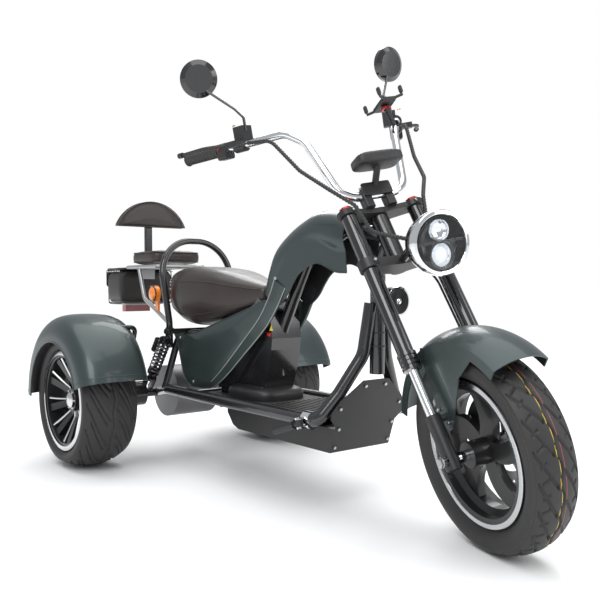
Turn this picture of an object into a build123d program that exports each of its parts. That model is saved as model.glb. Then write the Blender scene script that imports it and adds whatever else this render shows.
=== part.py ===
from build123d import *
import os
from math import cos, radians, sin

# Electric tricycle with a raked front fork, two driven rear wheels, a solo saddle, a pillion
# pad, a low battery box under a ribbed footboard and an arched neck cover of sheet metal.
# Millimetres. +X forward, +Y to the rider's left, +Z up, ground at Z = 0.
# The pieces are drawn from the rear axle (X = 0) and moved back by MID_X when they are
# written, so that the finished model has its origin at the middle of its length.

# Overall layout
WHEELBASE = 1376.0
REAR_TRACK = 780.0
MID_X = 588.1
SEAT = 0.3

# Front wheel, 12 inch rim
FRONT_TYRE_R = 236.5
FRONT_TYRE_W = 112.0
FRONT_RIM_R = 171.0
FRONT_BEAD_R = 152.5
FRONT_RIM_W = 80.0
RIM_WALL = 5.0
FRONT_HUB_R = 30.0
FRONT_HUB_RIGHT = -58.0
FRONT_HUB_LEFT = 44.0
FRONT_SPOKES = 5
FRONT_SPOKE_T = 20.0
AXLE_R = 7.5
RUNNING_GAP = 0.05
LEAN_DROP = 1.05
DISC_R = 100.0
DISC_BORE_R = 62.0
DISC_T = 3.5
DISC_HOLES = 15
DISC_HOLE_R = 4.0

# Rear wheels, deep dish
REAR_TYRE_R = 225.0
REAR_TYRE_W = 190.0
REAR_RIM_R = 166.0
REAR_BEAD_R = 149.0
REAR_RIM_W = 160.0
REAR_HUB_R = 38.0
REAR_HUB_W = 56.0
REAR_SPOKES = 9
REAR_SPOKE_TURN = 13.0
REAR_SPOKE_OUT = 26.0
STUB_R = 13.0

# Steering head and fork, measured along the steering axis
HEAD_RAKE = 30.8
FORK_REACH = 313.4
HEAD_Z = 700.0
STEER_REST = -18.7
HEAD_TUBE_R = 24.0
HEAD_TUBE_LOW = -32.0
HEAD_TUBE_TOP = 98.0
STEM_R = 13.0
FORK_HALF = 99.0
FORK_OFFSET = 25.0
OUTER_R = 20.5
OUTER_TOP = 115.0
OUTER_LOW = -335.0
CAP_R = 17.0
CAP_H = 10.0
COLLAR_R = 24.0
COLLAR_H = 46.0
INNER_R = 13.0
INNER_LOW = -452.0
LUG_R = 18.5
LUG_TAIL = 22.0
CLAMP_R = 27.0
LOWER_CLAMP_H = 26.0
UPPER_CLAMP_H = 15.0

# Handlebar
BAR_R = 11.0
GRIP_R = 16.5
GRIP_LENGTH = 125.0
RISER_R = 16.0
RISER_HALF = 32.0

# Frame
TUBE_R = 17.5
DOWN_TUBE_R = 20.0
SPINE_R = 19.0
RAIL_HALF = 150.0
RAIL_Z = 250.0
AXLE_TUBE_R = 16.0
BOARD_HALF = 131.0
BOARD_T = 6.0
BOARD_FRONT = 900.0
BOARD_REAR = 300.0
BOARD_RIBS = 13
RIB_H = 3.0

# Battery box
BOX_HALF = 109.0
BOX_FRONT = 938.0
BOX_REAR = 446.0
BOX_LOW = 162.0
PLATE_T = 3.0
PLATE_LEAN = 18.6

# Body
COVER_WALL = 3.0
COVER_HALF = 62.0
PANEL_WALL = 3.0
PILLAR_HALF = 56.0

# Saddle, rack, pad, backrest and bag
HOOP_R = 11.5
HOOP_HALF = 148.0
RACK_HALF = 100.0
RACK_Z = 678.0
RACK_R = 7.5
PAD_T = 54.0
BACKREST_HALF = 148.0
BACKREST_Z = 840.0
BACKREST_H = 98.0
BACKREST_T = 34.0
BAG_HALF = 118.0

# Rear fenders
FENDER_R = 286.0
FENDER_WALL = 3.0
FENDER_HALF = 102.0
FENDER_SKIRT_R = 198.0
STRUT_R = 8.0

WHEEL_Y = REAR_TRACK / 2
HEAD_X = WHEELBASE - FORK_REACH
REAR_AXLE_Z = REAR_TYRE_R
FRONT_AXLE_Z = FRONT_TYRE_R - LEAN_DROP
SIDES = {"right": -1, "left": 1}

HEAD = Plane(
    origin=(HEAD_X, 0, HEAD_Z),
    x_dir=(cos(radians(HEAD_RAKE)), 0, sin(radians(HEAD_RAKE))),
    z_dir=(-sin(radians(HEAD_RAKE)), 0, cos(radians(HEAD_RAKE))),
)
HEAD_AXIS = Axis((HEAD_X, 0, HEAD_Z), HEAD.z_dir)
FRONT_AXLE = Vector(WHEELBASE, 0, FRONT_AXLE_Z)
AXLE_FORWARD = HEAD.to_local_coords(FRONT_AXLE).X
AXLE_ALONG = HEAD.to_local_coords(FRONT_AXLE).Z
LUG_LOW = AXLE_ALONG - LUG_TAIL
LOWER_CLAMP_TOP = HEAD_TUBE_LOW - 1
UPPER_CLAMP_LOW = HEAD_TUBE_TOP + 1

os.makedirs("parts", exist_ok=True)


# Helpers
def add_tube(points, bend, radius, mode=Mode.ADD):
    """A round tube along straight runs joined by arcs, added to the piece being made."""
    with BuildLine() as route:
        if len(points) > 2:
            FilletPolyline(*points, radius=bend)
        else:
            Line(*points)
    with BuildSketch(Plane(origin=route.line @ 0, z_dir=route.line % 0)) as section:
        Circle(radius)
    sweep(sections=section.sketch, path=route.line, mode=mode)


def on_side(points, side):
    """The same route with its Y turned to the side given, -1 for right and 1 for left."""
    return [(x, side * y, z) for x, y, z in points]


def head_point(forward, left, along):
    """A point given by its distances from the steering axis."""
    return tuple(HEAD.from_local_coords(Vector(forward, left, along)))


def face_plane(centre, y):
    """Plane across a wheel at a distance y along its axle, facing the rider's left."""
    return Plane(origin=centre + Vector(0, y, 0), x_dir=(0, 0, 1), z_dir=(0, 1, 0))


def add_revolved(rows, centre, side=1):
    """A ring about the wheel axle at centre, from rows of radius and distance along Y."""
    with BuildSketch(Plane(origin=centre, x_dir=(1, 0, 0), z_dir=(0, 0, 1))) as section:
        with BuildLine():
            Polyline(*[(radius, side * y) for radius, y in rows], close=True)
        make_face()
    revolve(section.sketch, axis=Axis(centre, (0, 1, 0)))


def add_tyre(centre, bead, lip, crown, half_bead, half):
    """A tyre: a bead seat, walls that leave the rim and bulge, and a round tread."""
    shoulder = crown - 0.28 * half
    bulge = (lip + shoulder) / 2
    with BuildSketch(Plane(origin=centre, x_dir=(1, 0, 0), z_dir=(0, 0, 1))) as section:
        with BuildLine():
            Polyline((lip, -half_bead), (bead, -half_bead), (bead, half_bead), (lip, half_bead))
            ThreePointArc((lip, half_bead), (bulge, half - 1), (shoulder, half - 3))
            ThreePointArc((shoulder, half - 3), (crown, 0), (shoulder, 3 - half))
            ThreePointArc((shoulder, 3 - half), (bulge, 1 - half), (lip, -half_bead))
        make_face()
    revolve(section.sketch, axis=Axis(centre, (0, 1, 0)))


def add_slab(plane, rows, thickness):
    """A flat plate with the outline given by rows of plane X and Y."""
    with BuildSketch(plane) as section:
        with BuildLine():
            Polyline(*rows, close=True)
        make_face()
    extrude(section.sketch, amount=thickness)


def cut_by(*others):
    """Cut the piece being made where it is drawn into its neighbours."""
    for other in others:
        add(other, mode=Mode.SUBTRACT)


def rim_rows(bead, lip, half):
    """Rows of radius and width for a rim barrel with two lips and a drop centre."""
    inner = bead - RIM_WALL
    well = bead - 14
    return [
        (inner, half + 2), (lip - 2, half + 6), (lip, half + 3), (bead, half - 1),
        (bead, 18), (well, 10), (well, -10), (bead, -18), (bead, 1 - half),
        (lip, -half - 3), (lip - 2, -half - 6), (inner, -half - 2), (inner, -22),
        (well - RIM_WALL, -12), (well - RIM_WALL, 12), (inner, 22),
    ]


def write(part, label, steered=False):
    """Turn a steering piece to its rest angle, move it to the origin and write it."""
    placed = part.rotate(HEAD_AXIS, STEER_REST) if steered else part
    placed = Pos(-MID_X, 0, 0) * placed
    placed.label = label
    export_step(placed, f"parts/{label}.step")


# Front wheel: cast rim with five wide curved spokes
front_well = FRONT_BEAD_R - 14 - RIM_WALL
with BuildSketch() as front_spoke:
    with BuildLine():
        ThreePointArc((20, 24), (82, 38), (front_well + 2, 14))
        Line((front_well + 2, 14), (front_well + 2, -42))
        ThreePointArc((front_well + 2, -42), (84, -10), (20, -22))
        Line((20, -22), (20, 24))
    make_face()

with BuildPart() as front_rim:
    add_revolved(rim_rows(FRONT_BEAD_R, FRONT_RIM_R, FRONT_RIM_W / 2), FRONT_AXLE)
    with BuildSketch(face_plane(FRONT_AXLE, -FRONT_SPOKE_T / 2)):
        with PolarLocations(0, FRONT_SPOKES):
            add(front_spoke.sketch)
    extrude(amount=FRONT_SPOKE_T)
    with BuildSketch(face_plane(FRONT_AXLE, FRONT_HUB_RIGHT)):
        Circle(FRONT_HUB_R)
    extrude(amount=FRONT_HUB_LEFT - FRONT_HUB_RIGHT)
    with BuildSketch(face_plane(FRONT_AXLE, FRONT_HUB_RIGHT)):
        Circle(AXLE_R + RUNNING_GAP)
    extrude(amount=FRONT_HUB_LEFT - FRONT_HUB_RIGHT, mode=Mode.SUBTRACT)
write(front_rim.part, "front_rim", steered=True)

with BuildPart() as front_tyre:
    add_tyre(
        FRONT_AXLE, FRONT_BEAD_R + SEAT, FRONT_RIM_R + 1, FRONT_TYRE_R,
        FRONT_RIM_W / 2 - 1.3, FRONT_TYRE_W / 2,
    )
write(front_tyre.part, "front_tyre", steered=True)

with BuildPart() as front_disc:
    with BuildSketch(face_plane(FRONT_AXLE, FRONT_HUB_LEFT)):
        Circle(DISC_R)
        Circle(DISC_BORE_R, mode=Mode.SUBTRACT)
        Circle(FRONT_HUB_R)
        with PolarLocations(DISC_BORE_R / 2 + 10, FRONT_SPOKES):
            Rectangle(DISC_BORE_R, 14)
        with PolarLocations((DISC_R + DISC_BORE_R) / 2 + 4, DISC_HOLES):
            Circle(DISC_HOLE_R, mode=Mode.SUBTRACT)
        Circle(AXLE_R + 2, mode=Mode.SUBTRACT)
    extrude(amount=DISC_T)
write(front_disc.part, "front_brake_disc", steered=True)

# Rear wheels: deep-dish rims with machined spokes, wide tyres
with BuildSketch() as rear_spoke:
    with BuildLine():
        Polyline((24, 9), (REAR_BEAD_R - 3, 13), (REAR_BEAD_R - 3, -13), (24, -9), close=True)
    make_face()

# Columns: radius and distance outboard of the wheel's middle
dish_rows = [
    (26, 20), (26, 36), (60, 38), (REAR_BEAD_R - 3, 74), (REAR_BEAD_R - 3, 58), (66, 22),
]
for name, side in SIDES.items():
    centre = Vector(0, side * WHEEL_Y, REAR_AXLE_Z)
    with BuildPart() as spoke_dish:
        add_revolved(dish_rows, centre, side)
        with BuildSketch(face_plane(centre, 0 if side == 1 else -100)):
            with PolarLocations(0, REAR_SPOKES, REAR_SPOKE_TURN):
                add(rear_spoke.sketch)
        extrude(amount=100, mode=Mode.INTERSECT)
    with BuildPart() as rear_rim:
        add_revolved(rim_rows(REAR_BEAD_R, REAR_RIM_R, REAR_RIM_W / 2), centre)
        add(spoke_dish.part)
        hub_low = side * REAR_SPOKE_OUT - REAR_HUB_W / 2
        with BuildSketch(face_plane(centre, hub_low)):
            Circle(REAR_HUB_R)
        extrude(amount=REAR_HUB_W)
        with BuildSketch(face_plane(centre, hub_low)):
            Circle(STUB_R + RUNNING_GAP)
        extrude(amount=REAR_HUB_W, mode=Mode.SUBTRACT)
    write(rear_rim.part, f"rear_rim_{name}")
    with BuildPart() as rear_tyre:
        add_tyre(
            centre, REAR_BEAD_R + SEAT, REAR_RIM_R + 1, REAR_TYRE_R,
            REAR_RIM_W / 2 - 1.3, REAR_TYRE_W / 2,
        )
    write(rear_tyre.part, f"rear_tyre_{name}")

# Fork legs: outer tubes with ribbed collars, bright inner tubes, red caps and lower lugs
leg_spots = [(FORK_OFFSET, -FORK_HALF), (FORK_OFFSET, FORK_HALF)]
with BuildPart() as fork_tubes:
    with BuildSketch(HEAD.offset(OUTER_LOW)):
        with Locations(*leg_spots):
            Circle(OUTER_R)
    extrude(amount=OUTER_TOP - OUTER_LOW)
    for step in range(4):
        with BuildSketch(HEAD.offset(OUTER_LOW + step * COLLAR_H / 4)):
            with Locations(*leg_spots):
                Circle(COLLAR_R)
        extrude(amount=COLLAR_H / 4 - 4)
write(fork_tubes.part, "fork_tubes", steered=True)

with BuildPart() as fork_caps:
    with BuildSketch(HEAD.offset(OUTER_TOP)):
        with Locations(*leg_spots):
            RegularPolygon(CAP_R, 8)
    extrude(amount=CAP_H)
write(fork_caps.part, "fork_caps", steered=True)

with BuildPart() as fork_stanchions:
    with BuildSketch(HEAD.offset(INNER_LOW)):
        with Locations(*leg_spots):
            Circle(INNER_R)
    extrude(amount=OUTER_LOW - INNER_LOW)
write(fork_stanchions.part, "fork_stanchions", steered=True)

lug_spots = [(AXLE_FORWARD, -FORK_HALF), (AXLE_FORWARD, FORK_HALF)]
with BuildPart() as fork_lugs:
    with BuildSketch(HEAD.offset(LUG_LOW)):
        with Locations(*leg_spots):
            Circle(LUG_R)
    extrude(amount=INNER_LOW - LUG_LOW)
    with BuildSketch(face_plane(FRONT_AXLE, -FORK_HALF - LUG_R - 1)):
        Circle(AXLE_R + RUNNING_GAP)
    extrude(amount=2 * (FORK_HALF + LUG_R + 1), mode=Mode.SUBTRACT)
write(fork_lugs.part, "fork_lugs", steered=True)

with BuildPart() as front_axle:
    with BuildSketch(face_plane(FRONT_AXLE, -FORK_HALF - LUG_R - 8)):
        Circle(AXLE_R)
    extrude(amount=2 * (FORK_HALF + LUG_R + 8))
    for low, high in (
        (-FORK_HALF + LUG_R + SEAT, FRONT_HUB_RIGHT - SEAT),
        (FRONT_HUB_LEFT + DISC_T + SEAT, FORK_HALF - LUG_R - SEAT),
        (-FORK_HALF - LUG_R - 10, -FORK_HALF - LUG_R - SEAT),
        (FORK_HALF + LUG_R + SEAT, FORK_HALF + LUG_R + 10),
    ):
        with BuildSketch(face_plane(FRONT_AXLE, min(low, high))):
            Circle(AXLE_R + 5)
        extrude(amount=abs(high - low))
write(front_axle.part, "front_axle", steered=True)

# Triple clamps, with the stem in the lower one and the bar risers on the upper one
with BuildSketch() as clamp_outline:
    with Locations(*leg_spots):
        Circle(CLAMP_R)
    Circle(CLAMP_R + 3)
    with BuildLine():
        Polyline(
            (FORK_OFFSET + 16, -FORK_HALF), (CLAMP_R, 0), (FORK_OFFSET + 16, FORK_HALF),
            (FORK_OFFSET - 20, FORK_HALF), (-CLAMP_R + 4, 12), (-CLAMP_R + 4, -12),
            (FORK_OFFSET - 20, -FORK_HALF), close=True,
        )
    make_face()
    with Locations(*leg_spots):
        Circle(OUTER_R + RUNNING_GAP, mode=Mode.SUBTRACT)

with BuildPart() as lower_clamp:
    with BuildSketch(HEAD.offset(LOWER_CLAMP_TOP - LOWER_CLAMP_H)):
        add(clamp_outline.sketch)
    extrude(amount=LOWER_CLAMP_H)
    with BuildSketch(HEAD.offset(LOWER_CLAMP_TOP - LOWER_CLAMP_H / 2)):
        Circle(STEM_R)
    extrude(amount=UPPER_CLAMP_LOW + UPPER_CLAMP_H + 16 - LOWER_CLAMP_TOP)
write(lower_clamp.part, "lower_clamp", steered=True)

bar_centre = HEAD.to_local_coords(Vector(1010, 0, 845))
with BuildPart() as upper_clamp:
    with BuildSketch(HEAD.offset(UPPER_CLAMP_LOW)):
        add(clamp_outline.sketch)
        Circle(STEM_R + RUNNING_GAP, mode=Mode.SUBTRACT)
    extrude(amount=UPPER_CLAMP_H)
    with BuildSketch(HEAD.offset(UPPER_CLAMP_LOW + UPPER_CLAMP_H - 1)):
        with Locations((bar_centre.X, -RISER_HALF), (bar_centre.X, RISER_HALF)):
            RectangleRounded(2 * RISER_R, 26, 6)
    extrude(amount=bar_centre.Z + RISER_R - UPPER_CLAMP_LOW - UPPER_CLAMP_H)
    with BuildSketch(Plane(origin=(1010, -80, 845), x_dir=(0, 0, 1), z_dir=(0, 1, 0))):
        Circle(BAR_R + RUNNING_GAP)
    extrude(amount=160, mode=Mode.SUBTRACT)
write(upper_clamp.part, "upper_clamp", steered=True)

# Handlebar and what it carries
bar_left = [
    (553, 357, 1036), (872, 172, 1045), (915, 137, 1012), (992, 98, 868), (1010, 62, 845),
]
bar_route = bar_left + on_side(bar_left, -1)[::-1]
bar_bends = [60, 70, 45, 45, 45, 45, 70, 60]
with BuildPart() as handlebar:
    add_tube(bar_route, bar_bends, BAR_R)
write(handlebar.part, "handlebar", steered=True)

bar_end = Vector(*bar_left[0])
bar_way = (Vector(*bar_left[1]) - bar_end).normalized()
with BuildPart() as grips:
    for side in SIDES.values():
        end = Vector(bar_end.X, side * bar_end.Y, bar_end.Z)
        way = Vector(bar_way.X, side * bar_way.Y, bar_way.Z)
        with BuildSketch(Plane(origin=end - way * 6, z_dir=way)):
            Circle(GRIP_R)
        extrude(amount=GRIP_LENGTH + 6)
        with BuildSketch(Plane(origin=end - way * SEAT, z_dir=way)):
            Circle(BAR_R + 0.1)
        extrude(amount=GRIP_LENGTH + 6, mode=Mode.SUBTRACT)
write(grips.part, "grips", steered=True)

with BuildPart() as switchgear:
    for side in SIDES.values():
        way = Vector(bar_way.X, side * bar_way.Y, bar_way.Z)
        start = Vector(bar_end.X, side * bar_end.Y, bar_end.Z) + way * (GRIP_LENGTH + 4)
        with BuildSketch(Plane(origin=start, x_dir=(0, 0, 1), z_dir=way)):
            with Locations((-4, 0)):
                RectangleRounded(46, 38, 8)
        extrude(amount=34)
        with BuildSketch(Plane(origin=start - way, z_dir=way)):
            Circle(BAR_R + 0.1)
        extrude(amount=36, mode=Mode.SUBTRACT)
write(switchgear.part, "switchgear", steered=True)

lever_route = [(742, 290, 1046), (700, 352, 1048), (614, 399, 1045)]
with BuildPart() as brake_levers:
    for side in SIDES.values():
        way = Vector(bar_way.X, side * bar_way.Y, bar_way.Z)
        start = Vector(bar_end.X, side * bar_end.Y, bar_end.Z) + way * (GRIP_LENGTH + 66)
        perch = Plane(origin=start, x_dir=(0, 0, 1), z_dir=way)
        with BuildSketch(perch):
            Circle(BAR_R + 7)
            with Locations((4, side * -26)):
                Rectangle(16, 48)
            with Locations((32, side * 16)):
                Rectangle(46, 40)
        extrude(amount=36)
        with BuildSketch(perch.offset(-1)):
            Circle(BAR_R + 0.1)
        extrude(amount=38, mode=Mode.SUBTRACT)
        add_tube(on_side(lever_route, side), [60], 5)
        add_tube(on_side([(622, 395, 1045), (608, 402, 1045)], side), [], 8)
write(brake_levers.part, "brake_levers", steered=True)

# Mirrors on bent stems
MIRROR_R = 54.0
MIRROR_T = 20.0
mirror_spot = (632, 315, 1255)
stem_route = [
    (744, 236, 1080), (742, 236, 1118), (700, 244, 1150), (645, 298, 1215), (636, 310, 1240),
]
with BuildPart() as mirrors:
    for side in SIDES.values():
        look = Vector(cos(radians(13)), side * sin(radians(13)), -0.12).normalized()
        spot = Vector(mirror_spot[0], side * mirror_spot[1], mirror_spot[2])
        with BuildSketch(Plane(origin=spot - look * 6, z_dir=look)):
            Circle(MIRROR_R)
        extrude(amount=MIRROR_T - 8)
        with BuildSketch(Plane(origin=spot + look * (MIRROR_T - 14), z_dir=look)):
            Circle(MIRROR_R)
        extrude(amount=10, taper=55)
        add_tube(on_side(stem_route, side), [10, 14, 24], 4)
    cut_by(brake_levers.part)
write(mirrors.part, "mirrors", steered=True)

# Display pod on a bracket over the upper clamp
with BuildPart() as display:
    with BuildSketch(Plane(origin=(1046, 0, 918), x_dir=(0, 1, 0), z_dir=(-0.35, 0, 1))):
        SlotOverall(132, 74)
    extrude(amount=30)
    with BuildSketch(HEAD.offset(138)):
        with Locations((bar_centre.X + RISER_R + 3 + SEAT, 0)):
            Rectangle(6, 2 * RISER_HALF + 20)
    extrude(amount=38)
    add_tube([head_point(bar_centre.X + RISER_R + 3 + SEAT, 0, 172), (1046, 0, 922)], [], 9)
write(display.part, "display", steered=True)

with BuildPart() as phone_holder:
    with BuildSketch(Plane(origin=(915, 118, 1090), x_dir=(0, 1, 0), z_dir=(-0.7, 0, 0.7))):
        RectangleRounded(74, 96, 8)
    extrude(amount=12)
    add_tube([(893, 155, 1030), (910, 126, 1094)], [], 9)
    cut_by(handlebar.part)
write(phone_holder.part, "phone_holder", steered=True)

# Headlight: bowl, bright bezel ring and glass
LAMP_X = HEAD_X + 227.4
LAMP = Plane(origin=(LAMP_X, 0, 711), x_dir=(0, 1, 0), z_dir=(1, 0, 0))
with BuildPart() as headlight:
    with BuildSketch(Plane(origin=LAMP.origin, x_dir=(1, 0, 0), z_dir=(0, -1, 0))):
        with BuildLine():
            Line((-92, 0), (-92, 30))
            ThreePointArc((-92, 30), (-62, 60), (-16, 71))
            Polyline((-16, 71), (-16, 77), (0, 77), (4, 68), (-2, 66), (-2, 0), (-92, 0))
        make_face()
    revolve(axis=Axis(LAMP.origin, (1, 0, 0)))
    add_tube([head_point(30.4, 0, -46), head_point(90, 0, -46), (LAMP_X - 78, 0, 712)], [30], 12)
write(headlight.part, "headlight", steered=True)

with BuildPart() as headlight_glass:
    with BuildSketch(LAMP.offset(-2 + SEAT)):
        Circle(65)
    extrude(amount=5)
write(headlight_glass.part, "headlight_glass", steered=True)

# Brake caliper round the disc on the left leg
CALIPER_OUT = 124.0
CALIPER_IN = 80.0
CALIPER_TURN = -67.0
CALIPER_SPAN = 44.0
with BuildPart() as caliper:
    with BuildSketch(face_plane(FRONT_AXLE, FRONT_HUB_LEFT - 15)):
        with BuildLine():
            outer_arc = CenterArc((0, 0), CALIPER_OUT, CALIPER_TURN, CALIPER_SPAN)
            inner_arc = CenterArc((0, 0), CALIPER_IN, CALIPER_TURN, CALIPER_SPAN)
            Line(outer_arc @ 0, inner_arc @ 0)
            Line(outer_arc @ 1, inner_arc @ 1)
        make_face()
    extrude(amount=36)
    with BuildSketch(face_plane(FRONT_AXLE, FRONT_HUB_LEFT - 6)):
        Circle(DISC_R + 5)
    extrude(amount=DISC_T + 12, mode=Mode.SUBTRACT)
    with Locations((WHEELBASE - 50, 72, 293)):
        Box(24, 22, 22)
    cut_by(fork_lugs.part)
write(caliper.part, "front_caliper", steered=True)

# Front fender with side ears bolted to the lower lugs
GUARD_R = 285.0
GUARD_EDGE_R = 238.0
GUARD_HALF = 70.0
GUARD_WALL = 3.0
GUARD_START = 55.0
GUARD_ARC = 113.0
guard_ear = [
    (-128, 212), (-114, 184), (-82, 88), (-58, 54), (-41, 50), (-24, 60),
    (18, 181), (72, 228), (64, 252), (-126, 236),
]
guard_side = GUARD_R - 23
guard_plane = Plane(origin=FRONT_AXLE, x_dir=(1, 0, 0), z_dir=(0, 0, 1))
with BuildPart() as front_fender:
    with BuildSketch(guard_plane, mode=Mode.PRIVATE) as guard:
        with BuildLine():
            Line((GUARD_EDGE_R, -GUARD_HALF), (guard_side, -GUARD_HALF))
            ThreePointArc((guard_side, -GUARD_HALF), (GUARD_R, 0), (guard_side, GUARD_HALF))
            Line((guard_side, GUARD_HALF), (GUARD_EDGE_R, GUARD_HALF))
            Line((GUARD_EDGE_R, GUARD_HALF), (GUARD_EDGE_R, GUARD_HALF - GUARD_WALL))
            Line((GUARD_EDGE_R, GUARD_HALF - GUARD_WALL), (guard_side - 2, GUARD_HALF - GUARD_WALL))
            ThreePointArc(
                (guard_side - 2, GUARD_HALF - GUARD_WALL),
                (GUARD_R - GUARD_WALL, 0),
                (guard_side - 2, GUARD_WALL - GUARD_HALF),
            )
            Line((guard_side - 2, GUARD_WALL - GUARD_HALF), (GUARD_EDGE_R, GUARD_WALL - GUARD_HALF))
            Line((GUARD_EDGE_R, GUARD_WALL - GUARD_HALF), (GUARD_EDGE_R, -GUARD_HALF))
        make_face()
    guard_axis = Axis(FRONT_AXLE, (0, -1, 0))
    revolve(guard.sketch.rotate(guard_axis, GUARD_START), axis=guard_axis, revolution_arc=GUARD_ARC)
    for side in SIDES.values():
        ear_origin = FRONT_AXLE + Vector(0, side * GUARD_HALF, 0)
        ear_plane = Plane(origin=ear_origin, x_dir=(1, 0, 0), z_dir=(0, -1, 0))
        add_slab(ear_plane, guard_ear, side * GUARD_WALL)
        boss_origin = FRONT_AXLE + Vector(-55.4, side * (GUARD_HALF - GUARD_WALL), 80.5)
        boss_plane = Plane(origin=boss_origin, z_dir=(0, side, 0))
        with BuildSketch(boss_plane):
            Circle(8)
        extrude(amount=22)
    cut_by(fork_lugs.part, fork_stanchions.part, caliper.part)
write(front_fender.part, "front_fender", steered=True)

# Cables and hoses that ride with the fork
LOOM_R = 5.5
HOSE_R = 3.0
loom_route = [
    (778.5, 247.8, 1042), (858, 212, 1034), (940, 175, 938), (1033, 140, 874),
    (1080, 100, 827), (1113, 80, 755), (1206, 20, 722),
]
for name, side in SIDES.items():
    with BuildPart() as loom:
        add_tube(on_side(loom_route, side), [60, 60, 60, 40, 40], LOOM_R)
        cut_by(headlight.part)
    write(loom.part, f"cable_loom_{name}", steered=True)

hose_route = [
    head_point(6, 62, -58.5), head_point(-3, 88, -110), head_point(-3, 92, -420),
    head_point(-10, 58, -454),
]
with BuildPart() as front_hose:
    add_tube(hose_route, [60, 20], HOSE_R)
    cut_by(caliper.part, lower_clamp.part)
write(front_hose.part, "front_brake_hose", steered=True)

# Frame: head tube, down tube, spine, side rails, seat rails and cross tubes
CROSS_Z = 238.0
CROSS_R = 9.0
MOUNT_SPOT = (172, 452)
rail_route = [
    (1006, 24, 560), (994, 40, 424), (964, 100, 322), (938, RAIL_HALF, RAIL_Z + 4),
    (860, RAIL_HALF, RAIL_Z), (140, RAIL_HALF, RAIL_Z), (4, 112, REAR_AXLE_Z + 2),
]
seat_route = [(540, 48, 486), (240, 78, 446), (126, 98, 440), (112, RAIL_HALF, RAIL_Z)]
spine_route = [
    (1030, 0, 740), (900, 0, 762), (730, 0, 700), (652, 0, 575), (592, 0, 470), (570, 0, 330),
]
with BuildPart() as frame:
    with BuildSketch(HEAD.offset(HEAD_TUBE_LOW)):
        Circle(HEAD_TUBE_R)
    extrude(amount=HEAD_TUBE_TOP - HEAD_TUBE_LOW)
    add_tube([(1046, 0, 712), (1008, 0, 640), (1004, 0, 372)], [40], DOWN_TUBE_R)
    add_tube(spine_route, [80, 90, 120, 80], SPINE_R)
    for side in SIDES.values():
        add_tube(on_side(rail_route, side), [80, 60, 24, 60, 60], TUBE_R)
        add_tube(on_side(seat_route, side), [60, 40], 12)
    for x in (200, 470, 575, 860):
        add_tube([(x, -RAIL_HALF, CROSS_Z), (x, RAIL_HALF, CROSS_Z)], [], CROSS_R)
    add_tube([(MOUNT_SPOT[0], -180, MOUNT_SPOT[1]), (MOUNT_SPOT[0], 180, MOUNT_SPOT[1])], [], CROSS_R)
    with BuildSketch(HEAD.offset(HEAD_TUBE_LOW)):
        Circle(STEM_R + RUNNING_GAP)
    extrude(amount=HEAD_TUBE_TOP - HEAD_TUBE_LOW, mode=Mode.SUBTRACT)
write(frame.part, "frame")

# Horn on a bracket at the down tube
with BuildPart() as horn:
    with BuildSketch(Plane(origin=(1058, 0, 566), x_dir=(0, 1, 0), z_dir=(1, 0, 0))):
        Circle(37)
    extrude(amount=26)
    with BuildSketch(Plane(origin=(1012, 0, 566), x_dir=(0, 1, 0), z_dir=(1, 0, 0))):
        Circle(9)
    extrude(amount=46)
    cut_by(frame.part)
write(horn.part, "horn")

# Battery box, closed and solid inside, hung from the cross tubes
BOX_TOP = CROSS_Z - CROSS_R - SEAT
with BuildPart() as battery_box:
    box_rows = [
        (BOX_REAR, BOX_TOP), (BOX_REAR, BOX_LOW + 46), (BOX_REAR + 30, BOX_LOW + 12),
        (BOX_REAR + 60, BOX_LOW), (BOX_FRONT - 3.5, BOX_LOW), (BOX_FRONT + 19, BOX_TOP),
    ]
    add_slab(Plane.XZ.offset(-BOX_HALF), box_rows, 2 * BOX_HALF)
write(battery_box.part, "battery_box")

FRONT_PANEL = Plane(
    origin=(BOX_FRONT, 0, BOX_LOW),
    x_dir=(0, 1, 0),
    z_dir=(cos(radians(PLATE_LEAN)), 0, -sin(radians(PLATE_LEAN))),
)
with BuildPart() as front_plate:
    plate_rows = [
        (-BOX_HALF, 0), (BOX_HALF, 0), (BOX_HALF, 76), (132, 100), (134, 118), (112, 150),
        (46, 205), (-46, 205), (-112, 150), (-134, 118), (-132, 100), (-BOX_HALF, 76),
    ]
    add_slab(FRONT_PANEL, plate_rows, -PLATE_T)
    cut_by(frame.part)
write(front_plate.part, "front_plate")

# Footboard: a ribbed rubber mat on the cross tubes
BOARD_Z = CROSS_Z + CROSS_R + SEAT
board_mid = (BOARD_FRONT + BOARD_REAR) / 2
with BuildPart() as footboard:
    with BuildSketch(Plane.XY.offset(BOARD_Z)):
        with Locations((board_mid, 0)):
            Rectangle(BOARD_FRONT - BOARD_REAR, 2 * BOARD_HALF)
    extrude(amount=BOARD_T)
    with BuildSketch(Plane.XY.offset(BOARD_Z + BOARD_T)):
        with Locations((board_mid + 170, 0)):
            with GridLocations(1, 2 * BOARD_HALF / BOARD_RIBS, 1, BOARD_RIBS):
                Rectangle(BOARD_FRONT - BOARD_REAR - 350, BOARD_HALF / BOARD_RIBS)
    extrude(amount=RIB_H)
    cut_by(frame.part)
write(footboard.part, "footboard")

# Saddle, deep at the back and narrow at the nose
saddle_rows = [
    (25, 70, 575, 640), (90, 115, 500, 668), (200, 132, 468, 674), (330, 120, 486, 662),
    (450, 84, 516, 632), (560, 50, 552, 608),
]
with BuildPart() as saddle:
    for x, half, low, high in saddle_rows:
        with BuildSketch(Plane(origin=(x, 0, (low + high) / 2), x_dir=(0, 1, 0), z_dir=(1, 0, 0))):
            RectangleRounded(2 * half, high - low, 0.4 * (high - low))
    loft()
write(saddle.part, "saddle")

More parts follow.
